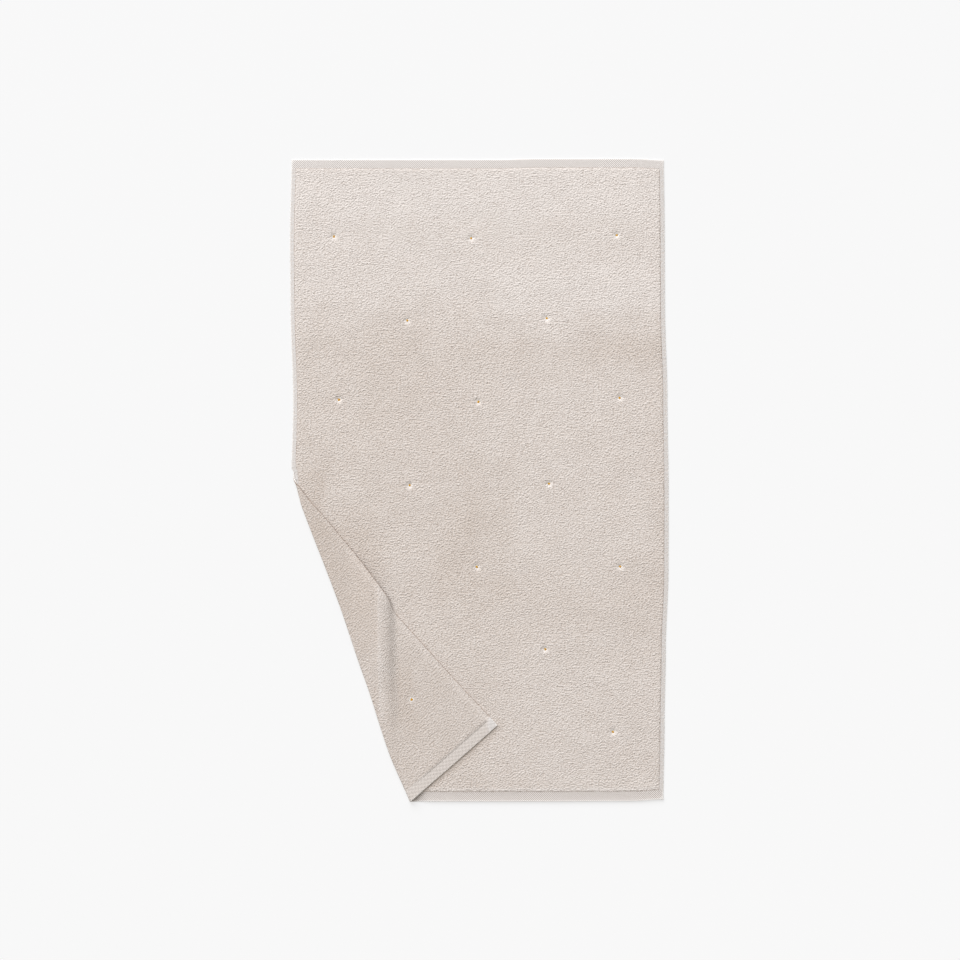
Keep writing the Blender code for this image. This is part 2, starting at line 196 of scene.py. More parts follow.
# Unevenness of the two ends, towards +Y, at places across the towel.
END_ROWS = table(
    "along bottom top",
    (-0.35, -0.0018, 0.0010),
    (-0.14, -0.0016, 0.0010),
    (-0.10, -0.0005, 0.0010),
    (0.04, -0.0006, 0.0010),
    (0.11, -0.0006, 0.0026),
    (0.29, 0.0002, 0.0028),
    (0.35, 0.0034, 0.0000))

# Unevenness of the fold: how far it lies inward of a straight line, at fractions of its length.
FOLD_ROWS = table(
    "along inward",
    (-0.02, 0.0000),
    (0.00, 0.0045),
    (0.03, 0.0060),
    (0.10, 0.0025),
    (0.38, 0.0048),
    (0.62, 0.0010),
    (0.85, -0.0042),
    (1.00, 0.0005))

# The ridge on the folded corner, from its low end to the edge of the cloth.
RIDGE_ROWS = table(
    "along crest foot height",
    (-0.485, -0.180, -0.147, 0.000),
    (-0.410, -0.185, -0.149, 0.008),
    (-0.340, -0.186, -0.152, 0.012),
    (-0.190, -0.187, -0.154, 0.0115))

# Patches of painted light and shade of the nap: where it leans, brushed towards the light it is paler and
# cooler (1), against it browner (-1).  Among them are the brighter top end and painted shade beside the
# fold's upper end and at the ridge's foot.  Each patch is full out to its half width and half height, and
# fades over as much again.
NAP_AND_PAINTED_LIGHT_ROWS = table(
    "x y wide high lean",
    (0.000, 0.520, 0.500, 0.140, 0.95),      # painted light: the whole end away from the fold, brighter
    # painted light along the top end, brighter still
    (0.000, 0.560, 0.400, 0.045, 0.50),
    (0.200, 0.330, 0.110, 0.045, 0.50),
    (-0.160, 0.225, 0.040, 0.070, -0.20),
    (0.055, 0.230, 0.040, 0.060, -0.15),
    (0.290, 0.265, 0.060, 0.035, -0.45),
    (0.165, 0.030, 0.110, 0.130, 0.40),
    (-0.010, -0.135, 0.045, 0.060, -0.45),
    (0.015, -0.030, 0.030, 0.050, -0.30),
    (0.320, -0.220, 0.035, 0.060, -0.15),
    (0.260, -0.490, 0.140, 0.120, 0.40),
    (-0.315, -0.045, 0.022, 0.045, -0.70),   # painted shade beside the fold's upper end
    (-0.250, -0.190, 0.045, 0.080, -0.80),   # folded corner, left of the ridge
    (-0.145, -0.390, 0.016, 0.050, -0.45),   # painted shade at the foot of the ridge on the folded corner
    (-0.130, -0.460, 0.060, 0.070, -0.25))
NAP_WANDERS = 0.012      # how far the borders of these patches wander
HEM_SHADE = -0.8         # painted shadow on the pile right beside the folded corner's hem, and how far it reaches
HEM_SHADE_OVER = 0.020
CREST_PAINTED_HIGHLIGHT = 0.9         # painted highlight along the ridge's crest, and half its width
CREST_WIDE = 0.0045
CREST_PAST = CREST_WIDE / 6   # how far past the crest the painted highlight's palest line lies
STEEP_PAINTED_LIGHT = 0.6         # painted light on the ridge's steep side, which lies in shade
TOP_SEAM_DARKENING = -0.4     # darker first loops past the top seam, painted light on those past the bottom seam, where the pile's edge faces away from the main light, and how far in they go
BOTTOM_SEAM_PAINTED_LIGHT = 1.0
SEAM_TONE_OVER = 0.0060
TIP_PAINTED_HIGHLIGHT = 1.6           # painted highlight on the folded corner's tip, where the hems cross, and its reach
TIP_HIGHLIGHT_OVER = 0.013
EDGE_LEAN = 0.2          # paler tone of the back along the side edges, where its hem lies, over this width
EDGE_LEAN_OVER = 0.016

# The faces of the cloth beside a seam, by distance past it into the pile: the front from the hem's
# depth (0) to the pile's (1), and the lift of the back.
SEAM_ROWS = table(
    "past front back",
    (-0.0011, 0.00, 0.0001),
    (-0.0003, -0.05, 0.0001),
    (0.0002, 0.20, 0.0001),
    (0.0009, 0.62, 0.0001),
    (BACK_WIDER, 0.93, 0.0001),
    (0.0060, 1.00, 0.0000))

# The two faces of the pile: how deep the pattern of loops is, the share of their colour that they give back,
# and the strengths of the warm painted shade along the rim and along a seam.
TERRY_FRONT, TERRY_BACK = table(
    "relief give rim crevice",
    (0.0036, 1.00, 0.0, 0.50),
    (0.0030, 0.95, 1.0, 0.15))

# The two faces of an end hem: how softly its checks of painted light and shade change over, how pale the
# darkest of them is, what it gives back away from the painted light, how far its pale rim of painted light
# reaches inward, and the strength of the painted shade along its seam.  The back is a little browner.
HEM_FRONT, HEM_BACK = table(
    "soft least give rim crevice",
    (0.3, 0.00, (0.90, 0.90, 0.90), 0.0036, 0.60),
    (0.9, 0.35, (0.87, 0.85, 0.83), 0.0018, 0.15))

COTTON = {"IOR": 1.45, "Specular_IOR_Level": 0.15, "Sheen_Roughness": 0.6}   # the finish of all cotton
MIXED = {"data_type": "RGBA"}   # the settings of a node that mixes two colours

# The turns of thread of one tack: the radius of a turn, as a share of the knot's; its height, in
# thicknesses of the thread over the front or under the back; its tilt and turn; and how oval it is.
TURN_ROWS = table(
    "front reach height tilt turn oval",
    (True, 1.00, 0.25, 0.10, 0.0, 0.92),
    (True, 0.62, 0.60, -0.22, 1.1, 0.85),
    (True, 0.28, 1.00, 0.35, 2.3, 0.90),
    (False, 0.88, -0.30, 0.08, 0.5, 0.88),
    (False, 0.45, -0.15, -0.15, 1.9, 0.90))


# ---- Small helpers ----

def ease(value):
    """A smooth step from 0 to 1."""
    q = np.clip(value, 0.0, 1.0)
    return q * q * (3.0 - 2.0 * q)


def read_row(rows, column, along):
    """A table's column at places along it, eased between its rows."""
    stops = np.array([row.along for row in rows])
    values = np.array([getattr(row, column) for row in rows])
    place = np.clip(along, stops[0], stops[-1])
    at = np.clip(np.searchsorted(stops, place) - 1, 0, len(stops) - 2)
    share = ease((place - stops[at]) / (stops[at + 1] - stops[at]))
    return values[at] * (1.0 - share) + values[at + 1] * share


def wander(across, along, size_across, size_along, seed):
    """Smooth noise between -1 and 1, with humps of these sizes."""
    values = np.random.default_rng(seed).uniform(-1.0, 1.0, (256, 256))
    x, y = across / size_across, along / size_along
    left, low = np.floor(x).astype(int), np.floor(y).astype(int)
    to_right, to_top = ease(x - left), ease(y - low)
    at = lambda i, j: values[(left + i) % 256, (low + j) % 256]
    below = at(0, 0) * (1.0 - to_right) + at(1, 0) * to_right
    above = at(0, 1) * (1.0 - to_right) + at(1, 1) * to_right
    return below * (1.0 - to_top) + above * to_top


def linear(colour):
    """An sRGB hex colour such as "#D9CFC6" as linear red, green and blue."""
    shares = [int(colour[i:i + 2], 16) / 255.0 for i in (1, 3, 5)]
    return tuple(s / 12.92 if s <= 0.04045 else ((s + 0.055) / 1.055) ** 2.4 for s in shares)


def away_from(places, middle):
    """Distances of places from a middle, on the floor plan."""
    return np.hypot(places[:, 0] - middle[0], places[:, 1] - middle[1])


def add_object(context, name, data):
    """A new object with this data, in the scene."""
    made = bpy.data.objects.new(name, data)
    context.scene.collection.objects.link(made)
    return made


# ---- How the cloth lies ----

FOLD_TOP = np.array((-WIDTH / 2, TURNED_UP - LENGTH / 2))
FOLD_END = np.array((TURNED_IN - WIDTH / 2, -LENGTH / 2))
FOLD_LENGTH = float(np.linalg.norm(FOLD_END - FOLD_TOP))
FOLD_ALONG = (FOLD_END - FOLD_TOP) / FOLD_LENGTH
FOLD_INTO = np.array((-FOLD_ALONG[1], FOLD_ALONG[0]))    # from the fold towards the middle of the towel


def fold_place(across, along):
    """Distance of flat places along the fold, and from it towards the middle of the towel."""
    right, up = across - FOLD_TOP[0], along - FOLD_TOP[1]
    return right * FOLD_ALONG[0] + up * FOLD_ALONG[1], right * FOLD_INTO[0] + up * FOLD_INTO[1]


def from_fold(slip, into):
    """The places at distances along the fold and from it."""
    return [FOLD_TOP[k] + FOLD_ALONG[k] * slip + FOLD_INTO[k] * into for k in (0, 1)]


def uneven(across, along):
    """The flat places, moved as the four edges wander."""
    to_right = (across + WIDTH / 2) / WIDTH
    to_top = (along + LENGTH / 2) / LENGTH
    left = read_row(EDGE_ROWS, "left", along) * (1.0 - to_right)
    right = read_row(EDGE_ROWS, "right", along) * to_right
    bottom = read_row(END_ROWS, "bottom", across) * (1.0 - to_top) ** 2
    top = read_row(END_ROWS, "top", across) * to_top ** 2
    return across + left + right, along + bottom + top


def ridge_at(y):
    """The crest, foot and height of the ridge at heights on the floor plan."""
    return [read_row(RIDGE_ROWS, column, y) for column in ("crest", "foot", "height")]


def ridge_height(x, y):
    """Height of the ridge over the folded corner at places on the floor plan."""
    crest, foot, height = ridge_at(y)
    gentle = ease(1.0 + (x - crest) / RIDGE_RISE)
    steep = 1.0 - ease(np.maximum((x - crest) / (foot - crest), 0.0) ** RIDGE_LEAN)
    lip = ease((x - crest + LIP_WIDE) / LIP_WIDE) * (1.0 - ease((x - crest) / LIP_FADES))
    dip = LIP_DIP * (1.0 - ease(np.abs(x - crest + LIP_DIP_BEFORE) / LIP_WIDE))
    pinch = LIP_RISE * ease(height / LIP_NEEDS)
    return height * np.where(x < crest, gentle, steep) + pinch * (lip - dip)


def draw_in(x, y):
    """How far the folded corner beyond the ridge is drawn towards it."""
    crest, foot, _ = ridge_at(y)
    pull = RIDGE_PULL * np.clip((y - PULL_FROM) / (PULL_FULL - PULL_FROM), 0.0, 1.0)
    start = crest + PULL_STARTS * (foot - crest)
    return pull * ease((x - start) / (foot + pull - start))


def lay(across, along, depth):
    """Where points of the flat cloth lie, at depths above its back face."""
    slip, into = fold_place(*uneven(across, along))
    turn = np.pi * np.clip(-into / FOLD_TAKES, 0.0, 1.0)
    reach = FOLD_OUTSIDE - depth
    upper = turn >= np.pi
    distance = np.where(turn <= 0.0, into, np.where(upper, -into - FOLD_TAKES, -reach * np.sin(turn)))
    turned = FOLD_OUTSIDE - reach * np.cos(turn)
    height = np.where(turn <= 0.0, depth, np.where(upper, FOLD_OUTSIDE + reach, turned))
    inward = read_row(FOLD_ROWS, "inward", slip / FOLD_LENGTH) * np.exp(-(distance / WAVER_FADES) ** 2)
    x, y = from_fold(slip, distance + inward)
    front, back = faces_of_cloth(across, along)
    settled = SETTLE_DROP * ease(distance / SETTLE_OVER)
    settled += HEM_DROOP * (PILE_DEPTH - (front - back)) * ease(distance / HEM_DROOP_OVER)
    x = np.where(upper, x - draw_in(x, y), x)
    raised = ridge_height(x, y) * ease(distance / RIDGE_FADES) - settled
    return np.stack((x, y, np.where(upper, height + raised, height)), axis=-1)


def lay_middle(across, along):
    """Where the middle of the pile's depth lies at flat places."""
    return lay(across, along, np.full(len(across), PILE_DEPTH / 2))


# ---- The thickness of the cloth ----

def past_seams(across, along):
    """Distances of flat places past the nearer side seam and the nearer end seam, into the pile."""
    side = WIDTH / 2 - np.abs(across) - SIDE_HEM_WIDE
    end = np.minimum(LENGTH / 2 - along - TOP_HEM_WIDE, LENGTH / 2 + along - BOTTOM_HEM_WIDE)
    return side, end


def inside_edge(across, along):
    """Distance of flat places from the nearest edge."""
    return np.minimum(WIDTH / 2 - np.abs(across), LENGTH / 2 - np.abs(along))


def beside_seam(past, hem_depth, slope):
    """Depth of the front and of the back at distances past a seam."""
    stops = [row.past for row in SEAM_ROWS]
    rise = np.interp(past, stops, [row.front for row in SEAM_ROWS])
    lift = np.interp(past, stops, [row.back for row in SEAM_ROWS])
    return hem_depth + rise * (PILE_DEPTH - hem_depth) - slope * np.maximum(-past, 0.0), lift


def faces_of_cloth(across, along):
    """Depth of the front and of the back at flat places, with hems, seams and rounded edges."""
    side, end = past_seams(across, along)
    side_front, side_back = beside_seam(side, SIDE_HEM_DEPTH, SIDE_HEM_SLOPE)
    end_depth = np.where(along > 0.0, TOP_HEM_DEPTH, BOTTOM_HEM_DEPTH)
    end_front, end_back = beside_seam(end, end_depth, END_HEM_SLOPE)
    front, back = np.minimum(side_front, end_front), np.maximum(side_back, end_back)
    edge = inside_edge(across, along)
    half = (front - back) / 2 * np.sqrt(1.0 - (1.0 - np.clip(edge / RIM, 0.0, 1.0)) ** 2)
    free = ease((across - FOLD_END[0] - FOLD_TAKES) / BOTTOM_CURL_FADES)
    curl = BOTTOM_CURL * (1.0 - ease((along + LENGTH / 2) / BOTTOM_CURL_WIDE)) * free
    middle = (front + back) / 2 + curl
    return middle + half, middle - half


def in_pile(across, along):
    """From 0 at a seam to 1 in the looped field."""
    return ease(np.minimum(*past_seams(across, along)) / PILE_STARTS)


def tack_middles():
    """The middle of each tack's CAD node, and whether it lies in the folded corner."""
    middles = {}
    for name in TACK_NODES:
        low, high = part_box(name)
        middle = (low + high) / 2
        middles[name] = (middle, middle.z > PILE_DEPTH)
    return middles


def centre_shift():
    """From where lay() puts the cloth to where the CAD cloth is: its outline's middle is on the origin."""
    rim = np.linspace(-0.5, 0.5, 601)
    half = np.full_like(rim, 0.5)
    across = np.concatenate((rim, rim, half, -half)) * WIDTH
    along = np.concatenate((half, -half, rim, rim)) * LENGTH
    slip = np.linspace(0.0, FOLD_LENGTH, 601)
    fold = lay(*from_fold(slip, -FOLD_TAKES / 2), slip * 0.0)
    laid = np.concatenate((lay_middle(across, along), fold))
    low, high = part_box(CLOTH_NODE)
    return np.array((low + high) / 2)[:2] - (laid.min(0) + laid.max(0))[:2] / 2


# ---- Settings ----

def number(name, default, description, **more):
    """A number that the user can change."""
    return bpy.props.FloatProperty(name=name, default=default, description=description, **more)


def length(name, default, description, least=0.0, precision=4):
    """A length in metres."""
    return number(name, default, description, min=least, unit="LENGTH", precision=precision)


def paint(name, default, description):
    """A colour, given as sRGB hex."""
    return bpy.props.FloatVectorProperty(name=name, default=linear(default), description=description,
                                         subtype="COLOR", size=3, min=0.0, max=1.0)


class TowelSizes(bpy.types.PropertyGroup):
    """Sizes of the cloth's surface, its stitches and its tacks."""

    relief: length("Loop relief", 0.00012, "How far clumps of loops stand out of the pile", precision=5)
    swell: length("Swell", 0.00015, "Height of the soft unevenness of the pile", precision=5)
    flow: length("Row flow", 0.0020, "How far the rows of loops wander from straight lines")
    ragged: length("Ragged pile edge", 0.0006, "How far loops overhang or fall short of a seam", precision=5)
    dimple_radius: length("Dimple radius", 0.0100, "Radius of the hollow that a tack pulls in the pile",
                          least=0.001)
    dimple_depth: length("Dimple depth", 0.0030, "Depth of the hollow at the tack")
    recess_radius: length("Recess radius", 0.0060, "Radius of the small hollow behind a tack",
                          least=0.001)
    recess_depth: length("Recess depth", 0.0008, "Depth of the small hollow behind a tack")
    stitch_length: length("Stitch length", 0.0030, "Length of a hem stitch that shows",
                          least=0.001)
    stitch_gap: length("Stitch gap", 0.0014, "Gap between two hem stitches, where the thread dives")
    stitch_thread: length("Hem thread", 0.0005, "Thickness of the thread in the hems",
                          least=0.0001, precision=5)
    tack_thread: length("Tack thread", 0.0009, "Thickness of the thread of the tacks",
                        least=0.0001, precision=5)
    tack_width: length("Tack width", 0.00575, "Width of the knot of a tack", least=0.001, precision=5)


class TowelColours(bpy.types.PropertyGroup):
    """Colours of the cloth and its threads."""

    pile: paint("Pile", "#E5DDD7", "Undyed cotton loops")
    # painted shade: the pile's hollows between loop tips, and the hollows between the side hem's ribs
    pile_painted_shade: paint("Pile, deep", "#CDC0B5", "The same loops between the tips, browner")
    end_hem: paint("End hem", "#FDF8F4", "Flat woven bands at the ends")
    # painted shade: the end hem between its raised diamonds
    end_hem_painted_shade: paint("End hem, deep", "#B6A9A0", "The same bands between the diamonds of the weave")
    side_hem: paint("Side hem", "#D6D2CF", "Turned hems at the sides")
    # stretched loops round a tack are paler, and the same paleness paints the highlight in the tack's hollow;
    # this colour also paints the pale light on the hems' rims
    pale_pile_and_painted_light: paint("Pile, pale", "#F3EFEB", "Stretched loops round a tack, paler")
    # painted shade: the warm colour of the crevices between loops along a seam, of the gaps in the pile and
    # of the folded corner's rim
    crevice: paint("Crevice", "#A08C7E", "The warm shade between loops along a seam")
    hem_thread: paint("Hem thread", "#D6CCC5", "Sewing thread of the hems")
    tack_thread: paint("Tack thread", "#E6AC18", "Orange thread of the tacks")


class TowelStage(bpy.types.PropertyGroup):
    """The floor, lights and camera."""

    camera_height: length("Camera height", 6.0, "Height of the camera over the floor", least=1.0)
    view_width: length("View width", 1.7968, "Width of floor that the camera sees", least=0.1)
    key_turn: number("Key direction", math.radians(23.0),
                     "Turn of the main light from the towel's top towards its left", subtype="ANGLE")
    key_height: number("Key height", math.radians(38.0), "Angle of the main light above the floor",
                       subtype="ANGLE")
    key_distance: length("Key distance", 20.0, "Distance of the main light from the towel", least=1.0)
    key_size: length("Key size", 17.0, "Width of the main light", least=0.1)
    key_power: number("Key power", 5620.0, "Power of the main light", min=0.0, unit="POWER")
    key_colour: paint("Key colour", "#F9FBFF", "Colour of the main light: a little cool, as daylight is")
    fill: number("Fill", 0.42, "Strength of the even light from all round", min=0.0)
    fill_colour: paint("Fill colour", "#FFFBF5", "Colour of the even light: warm, as light between walls is")
    floor: paint("Floor", "#F8F8F8", "Colour of the floor")
    floor_glow: number("Floor glow", 0.64, "Share of the floor's light that is its own, to keep it even",
                       min=0.0, max=1.0)


# ---- Materials ----

def set_inputs(tree, made, **links):
    """Link or set a node's inputs.  A name has underscores for spaces, or is in0, in1 and so on, and a
    node stands for its first output that is in use."""
    for name, value in links.items():
        by_number = name.startswith("in") and name[2:].isdigit()
        socket = made.inputs[int(name[2:]) if by_number else name.replace("_", " ")]
        if isinstance(value, bpy.types.Node):
            value = next(output for output in value.outputs if output.enabled)
        if isinstance(value, bpy.types.NodeSocket):
            tree.links.new(value, socket)
        else:
            socket.default_value = value


def node(tree, kind, settings=None, **links):
    """Add a node with its settings and links."""
    made = tree.nodes.new("ShaderNode" + kind)
    for name, value in (settings or {}).items():
        setattr(made, name, value)
    set_inputs(tree, made, **links)
    return made


def new_material(name, **finish):
    """A Principled material of this finish, its node tree and its shader."""
    material = bpy.data.materials.new(name)
    material.use_nodes = True
    shader = material.node_tree.nodes["Principled BSDF"]
    set_inputs(material.node_tree, shader, **finish)
    return material, material.node_tree, shader


def rgba(colour):
    """A colour with full opacity."""
    return (*colour, 1.0)


def shaded(colour, share):
    """A share of a colour's light."""
    return rgba([part * share for part in colour])


def with_painted_seam_shade(tree, flat, colour, colours, strength):
    """The colour with a broken warm line of painted shade along a seam, where loops and thread leave a
    crevice: dashes 3 to 8 mm long and 1.5 mm wide."""
    past = node(tree, "Attribute", {"attribute_name": "past_seam"}).outputs["Fac"]
    away = node(tree, "Math", {"operation": "ABSOLUTE"}, in0=past)
    line = node(tree, "MapRange", {"interpolation_type": "SMOOTHSTEP"}, Value=away, From_Min=0.0002,
                From_Max=0.0009, To_Min=1.0, To_Max=0.0)
    broken = node(tree, "TexNoise", Vector=flat, Scale=1 / 0.006, Detail=1.0)
    dashes = node(tree, "MapRange", Value=broken, From_Min=0.38, From_Max=0.62, To_Min=strength * 0.3,
                  To_Max=strength)
    share = node(tree, "Math", {"operation": "MULTIPLY"}, in0=line, in1=dashes)
    return node(tree, "Mix", MIXED, in0=share, in6=colour, in7=rgba(colours.crevice))


def with_painted_rim_light_and_shade(tree, flat, colour, rim, strength, broken=False, reach=0.0018):
    """The colour with the rim of the cloth painted in another, whole or in dashes, out to a distance inward:
    a warm painted shade or a pale painted light.
    """
    edge = node(tree, "Attribute", {"attribute_name": "from_edge"}).outputs["Fac"]
    share = node(tree, "MapRange", {"interpolation_type": "SMOOTHSTEP"}, Value=edge, From_Min=0.0004,
                 From_Max=reach, To_Min=strength, To_Max=0.0)
    if broken:
        noise = node(tree, "TexNoise", Vector=flat, Scale=1 / 0.005, Detail=2.0)
        dashes = node(tree, "MapRange", Value=noise, From_Min=0.30, From_Max=0.50)
        share = node(tree, "Math", {"operation": "MULTIPLY"}, in0=share, in1=dashes)
    return node(tree, "Mix", MIXED, in0=share, in6=colour, in7=rgba(rim))


def terry_material(name, colours, face):
    """Cotton terry: short uncut loops in rows, combed a little out of line, so that light breaks into fine
    strokes along the rows.  Its colour has painted shade in the hollows between loop tips and in small brown
    gaps, painted light and shade of the nap, and paler loops round the tacks that also paint a highlight.
    The strokes are 2.9 mm high and 3.4 mm long."""
    material, tree, shader = new_material(name, **COTTON, Roughness=0.95, Sheen_Weight=0.12)
    flat = node(tree, "Attribute", {"attribute_name": "flat"}).outputs["Vector"]
    lean = node(tree, "Attribute", {"attribute_name": "lean"}).outputs["Fac"]
    pulled = node(tree, "Attribute", {"attribute_name": "pulled"}).outputs["Fac"]
    bend = node(tree, "TexNoise", Vector=flat, Scale=1 / 0.075, Detail=1.0).outputs["Color"]
    bend = node(tree, "VectorMath", {"operation": "SUBTRACT"}, in0=bend, in1=(0.5, 0.5, 0.5))
    bent = node(tree, "VectorMath", {"operation": "MULTIPLY_ADD"}, in0=bend, in1=(0.0, 0.014, 0.0), in2=flat)
    rows = node(tree, "Mapping", Vector=bent, Scale=(1 / 0.0034, 1 / 0.0029, 1.0))
    loops = node(tree, "TexNoise", Vector=rows, Scale=1.0, Detail=2.0, Roughness=0.5)
    bump = node(tree, "Bump", Strength=1.0, Distance=face.relief, Height=loops)
    nap = node(tree, "TexNoise", Vector=flat, Scale=1 / 0.045, Detail=4.0, Roughness=0.65)
    # painted shade: the colour follows the loops' relief, browner in its hollows, with the nap's patches on
    # top
    tone = node(tree, "Math", {"operation": "MULTIPLY_ADD"}, in0=nap, in1=0.25, in2=loops)
    tone = node(tree, "Math", {"operation": "MULTIPLY_ADD"}, in0=lean, in1=0.17, in2=tone)
    share = node(tree, "MapRange", {"clamp": False}, Value=tone, From_Min=0.375, From_Max=0.875)
    colour = node(tree, "Mix", MIXED, in0=share, in6=shaded(colours.pile_painted_shade, face.give),
                  in7=shaded(colours.pile, face.give))
    # painted shade: small brown gaps between the loops
    gap_shade_noise = node(tree, "TexNoise", Vector=flat, Scale=1 / 0.0027, Detail=1.0)
    gap_shade = node(tree, "MapRange", Value=gap_shade_noise, From_Min=0.58, From_Max=0.76, To_Max=0.45)
    colour = node(tree, "Mix", MIXED, in0=gap_shade, in6=colour, in7=rgba(colours.crevice))
    # paler stretched loops round a tack, which also paint a highlight in its hollow
    colour = node(tree, "Mix", MIXED, in0=pulled, in6=colour, in7=rgba(colours.pale_pile_and_painted_light))
    # painted shade: a warm broken line along the back's rim, where the folded corner's edge meets the pile
    # below
    if face.rim:
        colour = with_painted_rim_light_and_shade(tree, flat, colour, colours.crevice, face.rim, broken=True)
    # painted shade along a seam
    colour = with_painted_seam_shade(tree, flat, colour, colours, face.crevice)
    set_inputs(tree, shader, Base_Color=colour, Normal=bump)
    return material


def end_hem_material(name, colours, face):
    """Dobby-woven cotton band: rows of small raised diamonds, 3.7 mm apart, that catch the light in checks,
    painted in its colour as pale painted light and darker painted shade over a small bump."""
    material, tree, shader = new_material(name, **COTTON, Roughness=0.85, Sheen_Weight=0.08)
    flat = node(tree, "Attribute", {"attribute_name": "flat"}).outputs["Vector"]
    lean = node(tree, "Attribute", {"attribute_name": "lean"}).outputs["Fac"]
    axes = node(tree, "SeparateXYZ", in0=flat)
    waves = []
    for axis, pitch, start in ((0, 0.00370, 0.0), (1, 0.00374, math.pi / 2)):
        turns = node(tree, "Math", {"operation": "MULTIPLY_ADD"}, in0=axes.outputs[axis],
                     in1=math.tau / pitch, in2=start)
        waves.append(node(tree, "Math", {"operation": "COSINE"}, in0=turns))
    weave = node(tree, "Math", {"operation": "MULTIPLY"}, in0=waves[0], in1=waves[1])
    bump = node(tree, "Bump", Strength=1.0, Distance=0.0004, Height=weave)
    share = node(tree, "MapRange", Value=weave, From_Min=-face.soft, From_Max=face.soft, To_Min=face.least)
    colour = node(tree, "Mix", MIXED, in0=share, in6=rgba(colours.end_hem_painted_shade), in7=rgba(colours.end_hem))
    # painted light: where it is strong, at the top end and the folded corner's tip, the band is cooler and
    # keeps all its colour
    cool = node(tree, "MapRange", Value=lean, From_Min=0.6, From_Max=1.6, To_Max=0.45)
    colour = node(tree, "Mix", MIXED, in0=cool, in6=colour, in7=rgba(colours.side_hem))
    dull = node(tree, "MapRange", Value=lean, From_Min=0.4, From_Max=1.2, To_Min=1.0, To_Max=0.0)
    colour = node(tree, "Mix", {**MIXED, "blend_type": "MULTIPLY"}, in0=dull, in6=colour, in7=rgba(face.give))
    # painted light: a pale rim where the rounded edge would be shaded
    colour = with_painted_rim_light_and_shade(tree, flat, colour, colours.pale_pile_and_painted_light, 0.9, reach=face.rim)
    # painted shade along the seam
    colour = with_painted_seam_shade(tree, flat, colour, colours, face.crevice)
    set_inputs(tree, shader, Base_Color=colour, Normal=bump)
    return material


def side_hem_material(name, colours):
    """Cotton turned twice and stitched: plain weave, with faint ribs along the edge, 2.6 mm apart, their
    hollows in painted shade, a pale rim of painted light and painted shade along its seam.
    """
    material, tree, shader = new_material(name, **COTTON, Roughness=0.85, Sheen_Weight=0.08)
    flat = node(tree, "Attribute", {"attribute_name": "flat"}).outputs["Vector"]
    ribs = node(tree, "Mapping", Vector=flat, Scale=(1 / 0.0026, 1 / 0.0040, 1.0))
    weave = node(tree, "TexNoise", Vector=ribs, Scale=1.0, Detail=2.0)
    bump = node(tree, "Bump", Strength=1.0, Distance=0.0012, Height=weave)
    # painted shade in the hollows between the ribs
    share = node(tree, "MapRange", Value=weave, From_Min=0.25, From_Max=0.6, To_Min=0.3, To_Max=1.0)
    colour = node(tree, "Mix", MIXED, in0=share, in6=rgba(colours.pile_painted_shade), in7=rgba(colours.side_hem))
    # painted light: a pale rim where the rounded edge would be shaded
    colour = with_painted_rim_light_and_shade(tree, flat, colour, colours.pale_pile_and_painted_light, 0.7)
    # painted shade along the seam
    colour = with_painted_seam_shade(tree, flat, colour, colours, 0.9)
    set_inputs(tree, shader, Base_Color=colour, Normal=bump)
    return material


def thread_material(name, colour, ply):
    """Twisted cotton thread: two plies, seen as slanted bands, each with a little fuzz, the groove between
    them in painted shade.
    """
    material, tree, shader = new_material(name, **COTTON, Roughness=0.75, Sheen_Weight=0.15)
    place = node(tree, "TexCoord").outputs["Object"]
    twist = node(tree, "TexWave", {"bands_direction": "DIAGONAL"}, Vector=place, Scale=1 / ply,
                 Distortion=1.5, Detail=1.0).outputs["Fac"]
    bump = node(tree, "Bump", Strength=0.7, Distance=ply / 4, Height=twist)
    # painted shade: the groove between the plies, at 0.72 of the colour
    mix = node(tree, "Mix", MIXED, in0=twist, in6=shaded(colour, 0.72), in7=rgba(colour))
    set_inputs(tree, shader, Base_Color=mix, Normal=bump)
    return material


def floor_material(stage):
    """Pale studio paper: matt, with a little light of its own, so that it stays even and near white."""
    lit = (1.0 - stage.floor_glow) / FLOOR_LIT
    material, tree, shader = new_material(
        "studio paper, matt", Base_Color=shaded(stage.floor, lit), Roughness=1.0, Specular_IOR_Level=0.0,
        Emission_Color=rgba(stage.floor))
    place = node(tree, "TexCoord").outputs["Object"]
    rise = node(tree, "VectorMath", {"operation": "DOT_PRODUCT"}, in0=place, in1=FLOOR_RISES)
    glow = node(tree, "MapRange", Value=rise, From_Min=-FLOOR_RISES_MOST, From_Max=FLOOR_RISES_MOST,
                To_Min=stage.floor_glow * (1.0 + FLOOR_LIFT - FLOOR_RISES_MOST),
                To_Max=stage.floor_glow * (1.0 + FLOOR_LIFT + FLOOR_RISES_MOST))
    set_inputs(tree, shader, Emission_Strength=glow)
    return material


# ---- The cloth ----

def lines_over(half, low_hem, high_hem, step, block):
    """Mesh lines from edge to edge of the cloth, close together at rims and seams, and which of them
    also run through the hidden cloth."""

    def beside(hem_wide):
        """Distances from the edge of the lines at its rim, over its hem and past its seam."""
        hem = np.linspace(RIM * HEM_LINES_FROM, hem_wide + SEAM_ROWS[0].past, HEM_LINES)
        return [0.0, RIM * RIM_LINE, RIM, *hem, *(hem_wide + row.past for row in SEAM_ROWS[1:])]

    low, high = beside(low_hem), beside(high_hem)
    first, last = low[-1] - half, half - high[-1]
    count = math.ceil((last - first) / step / block) * block
    lines = np.concatenate((np.array(low[:-1]) - half, np.linspace(first, last, count + 1),
                            half - np.array(high[-2::-1])))
    start = len(low) - 1
    end = start + count + 1
    return lines, [*range(start), *range(start, end, block), *range(end, len(lines))]


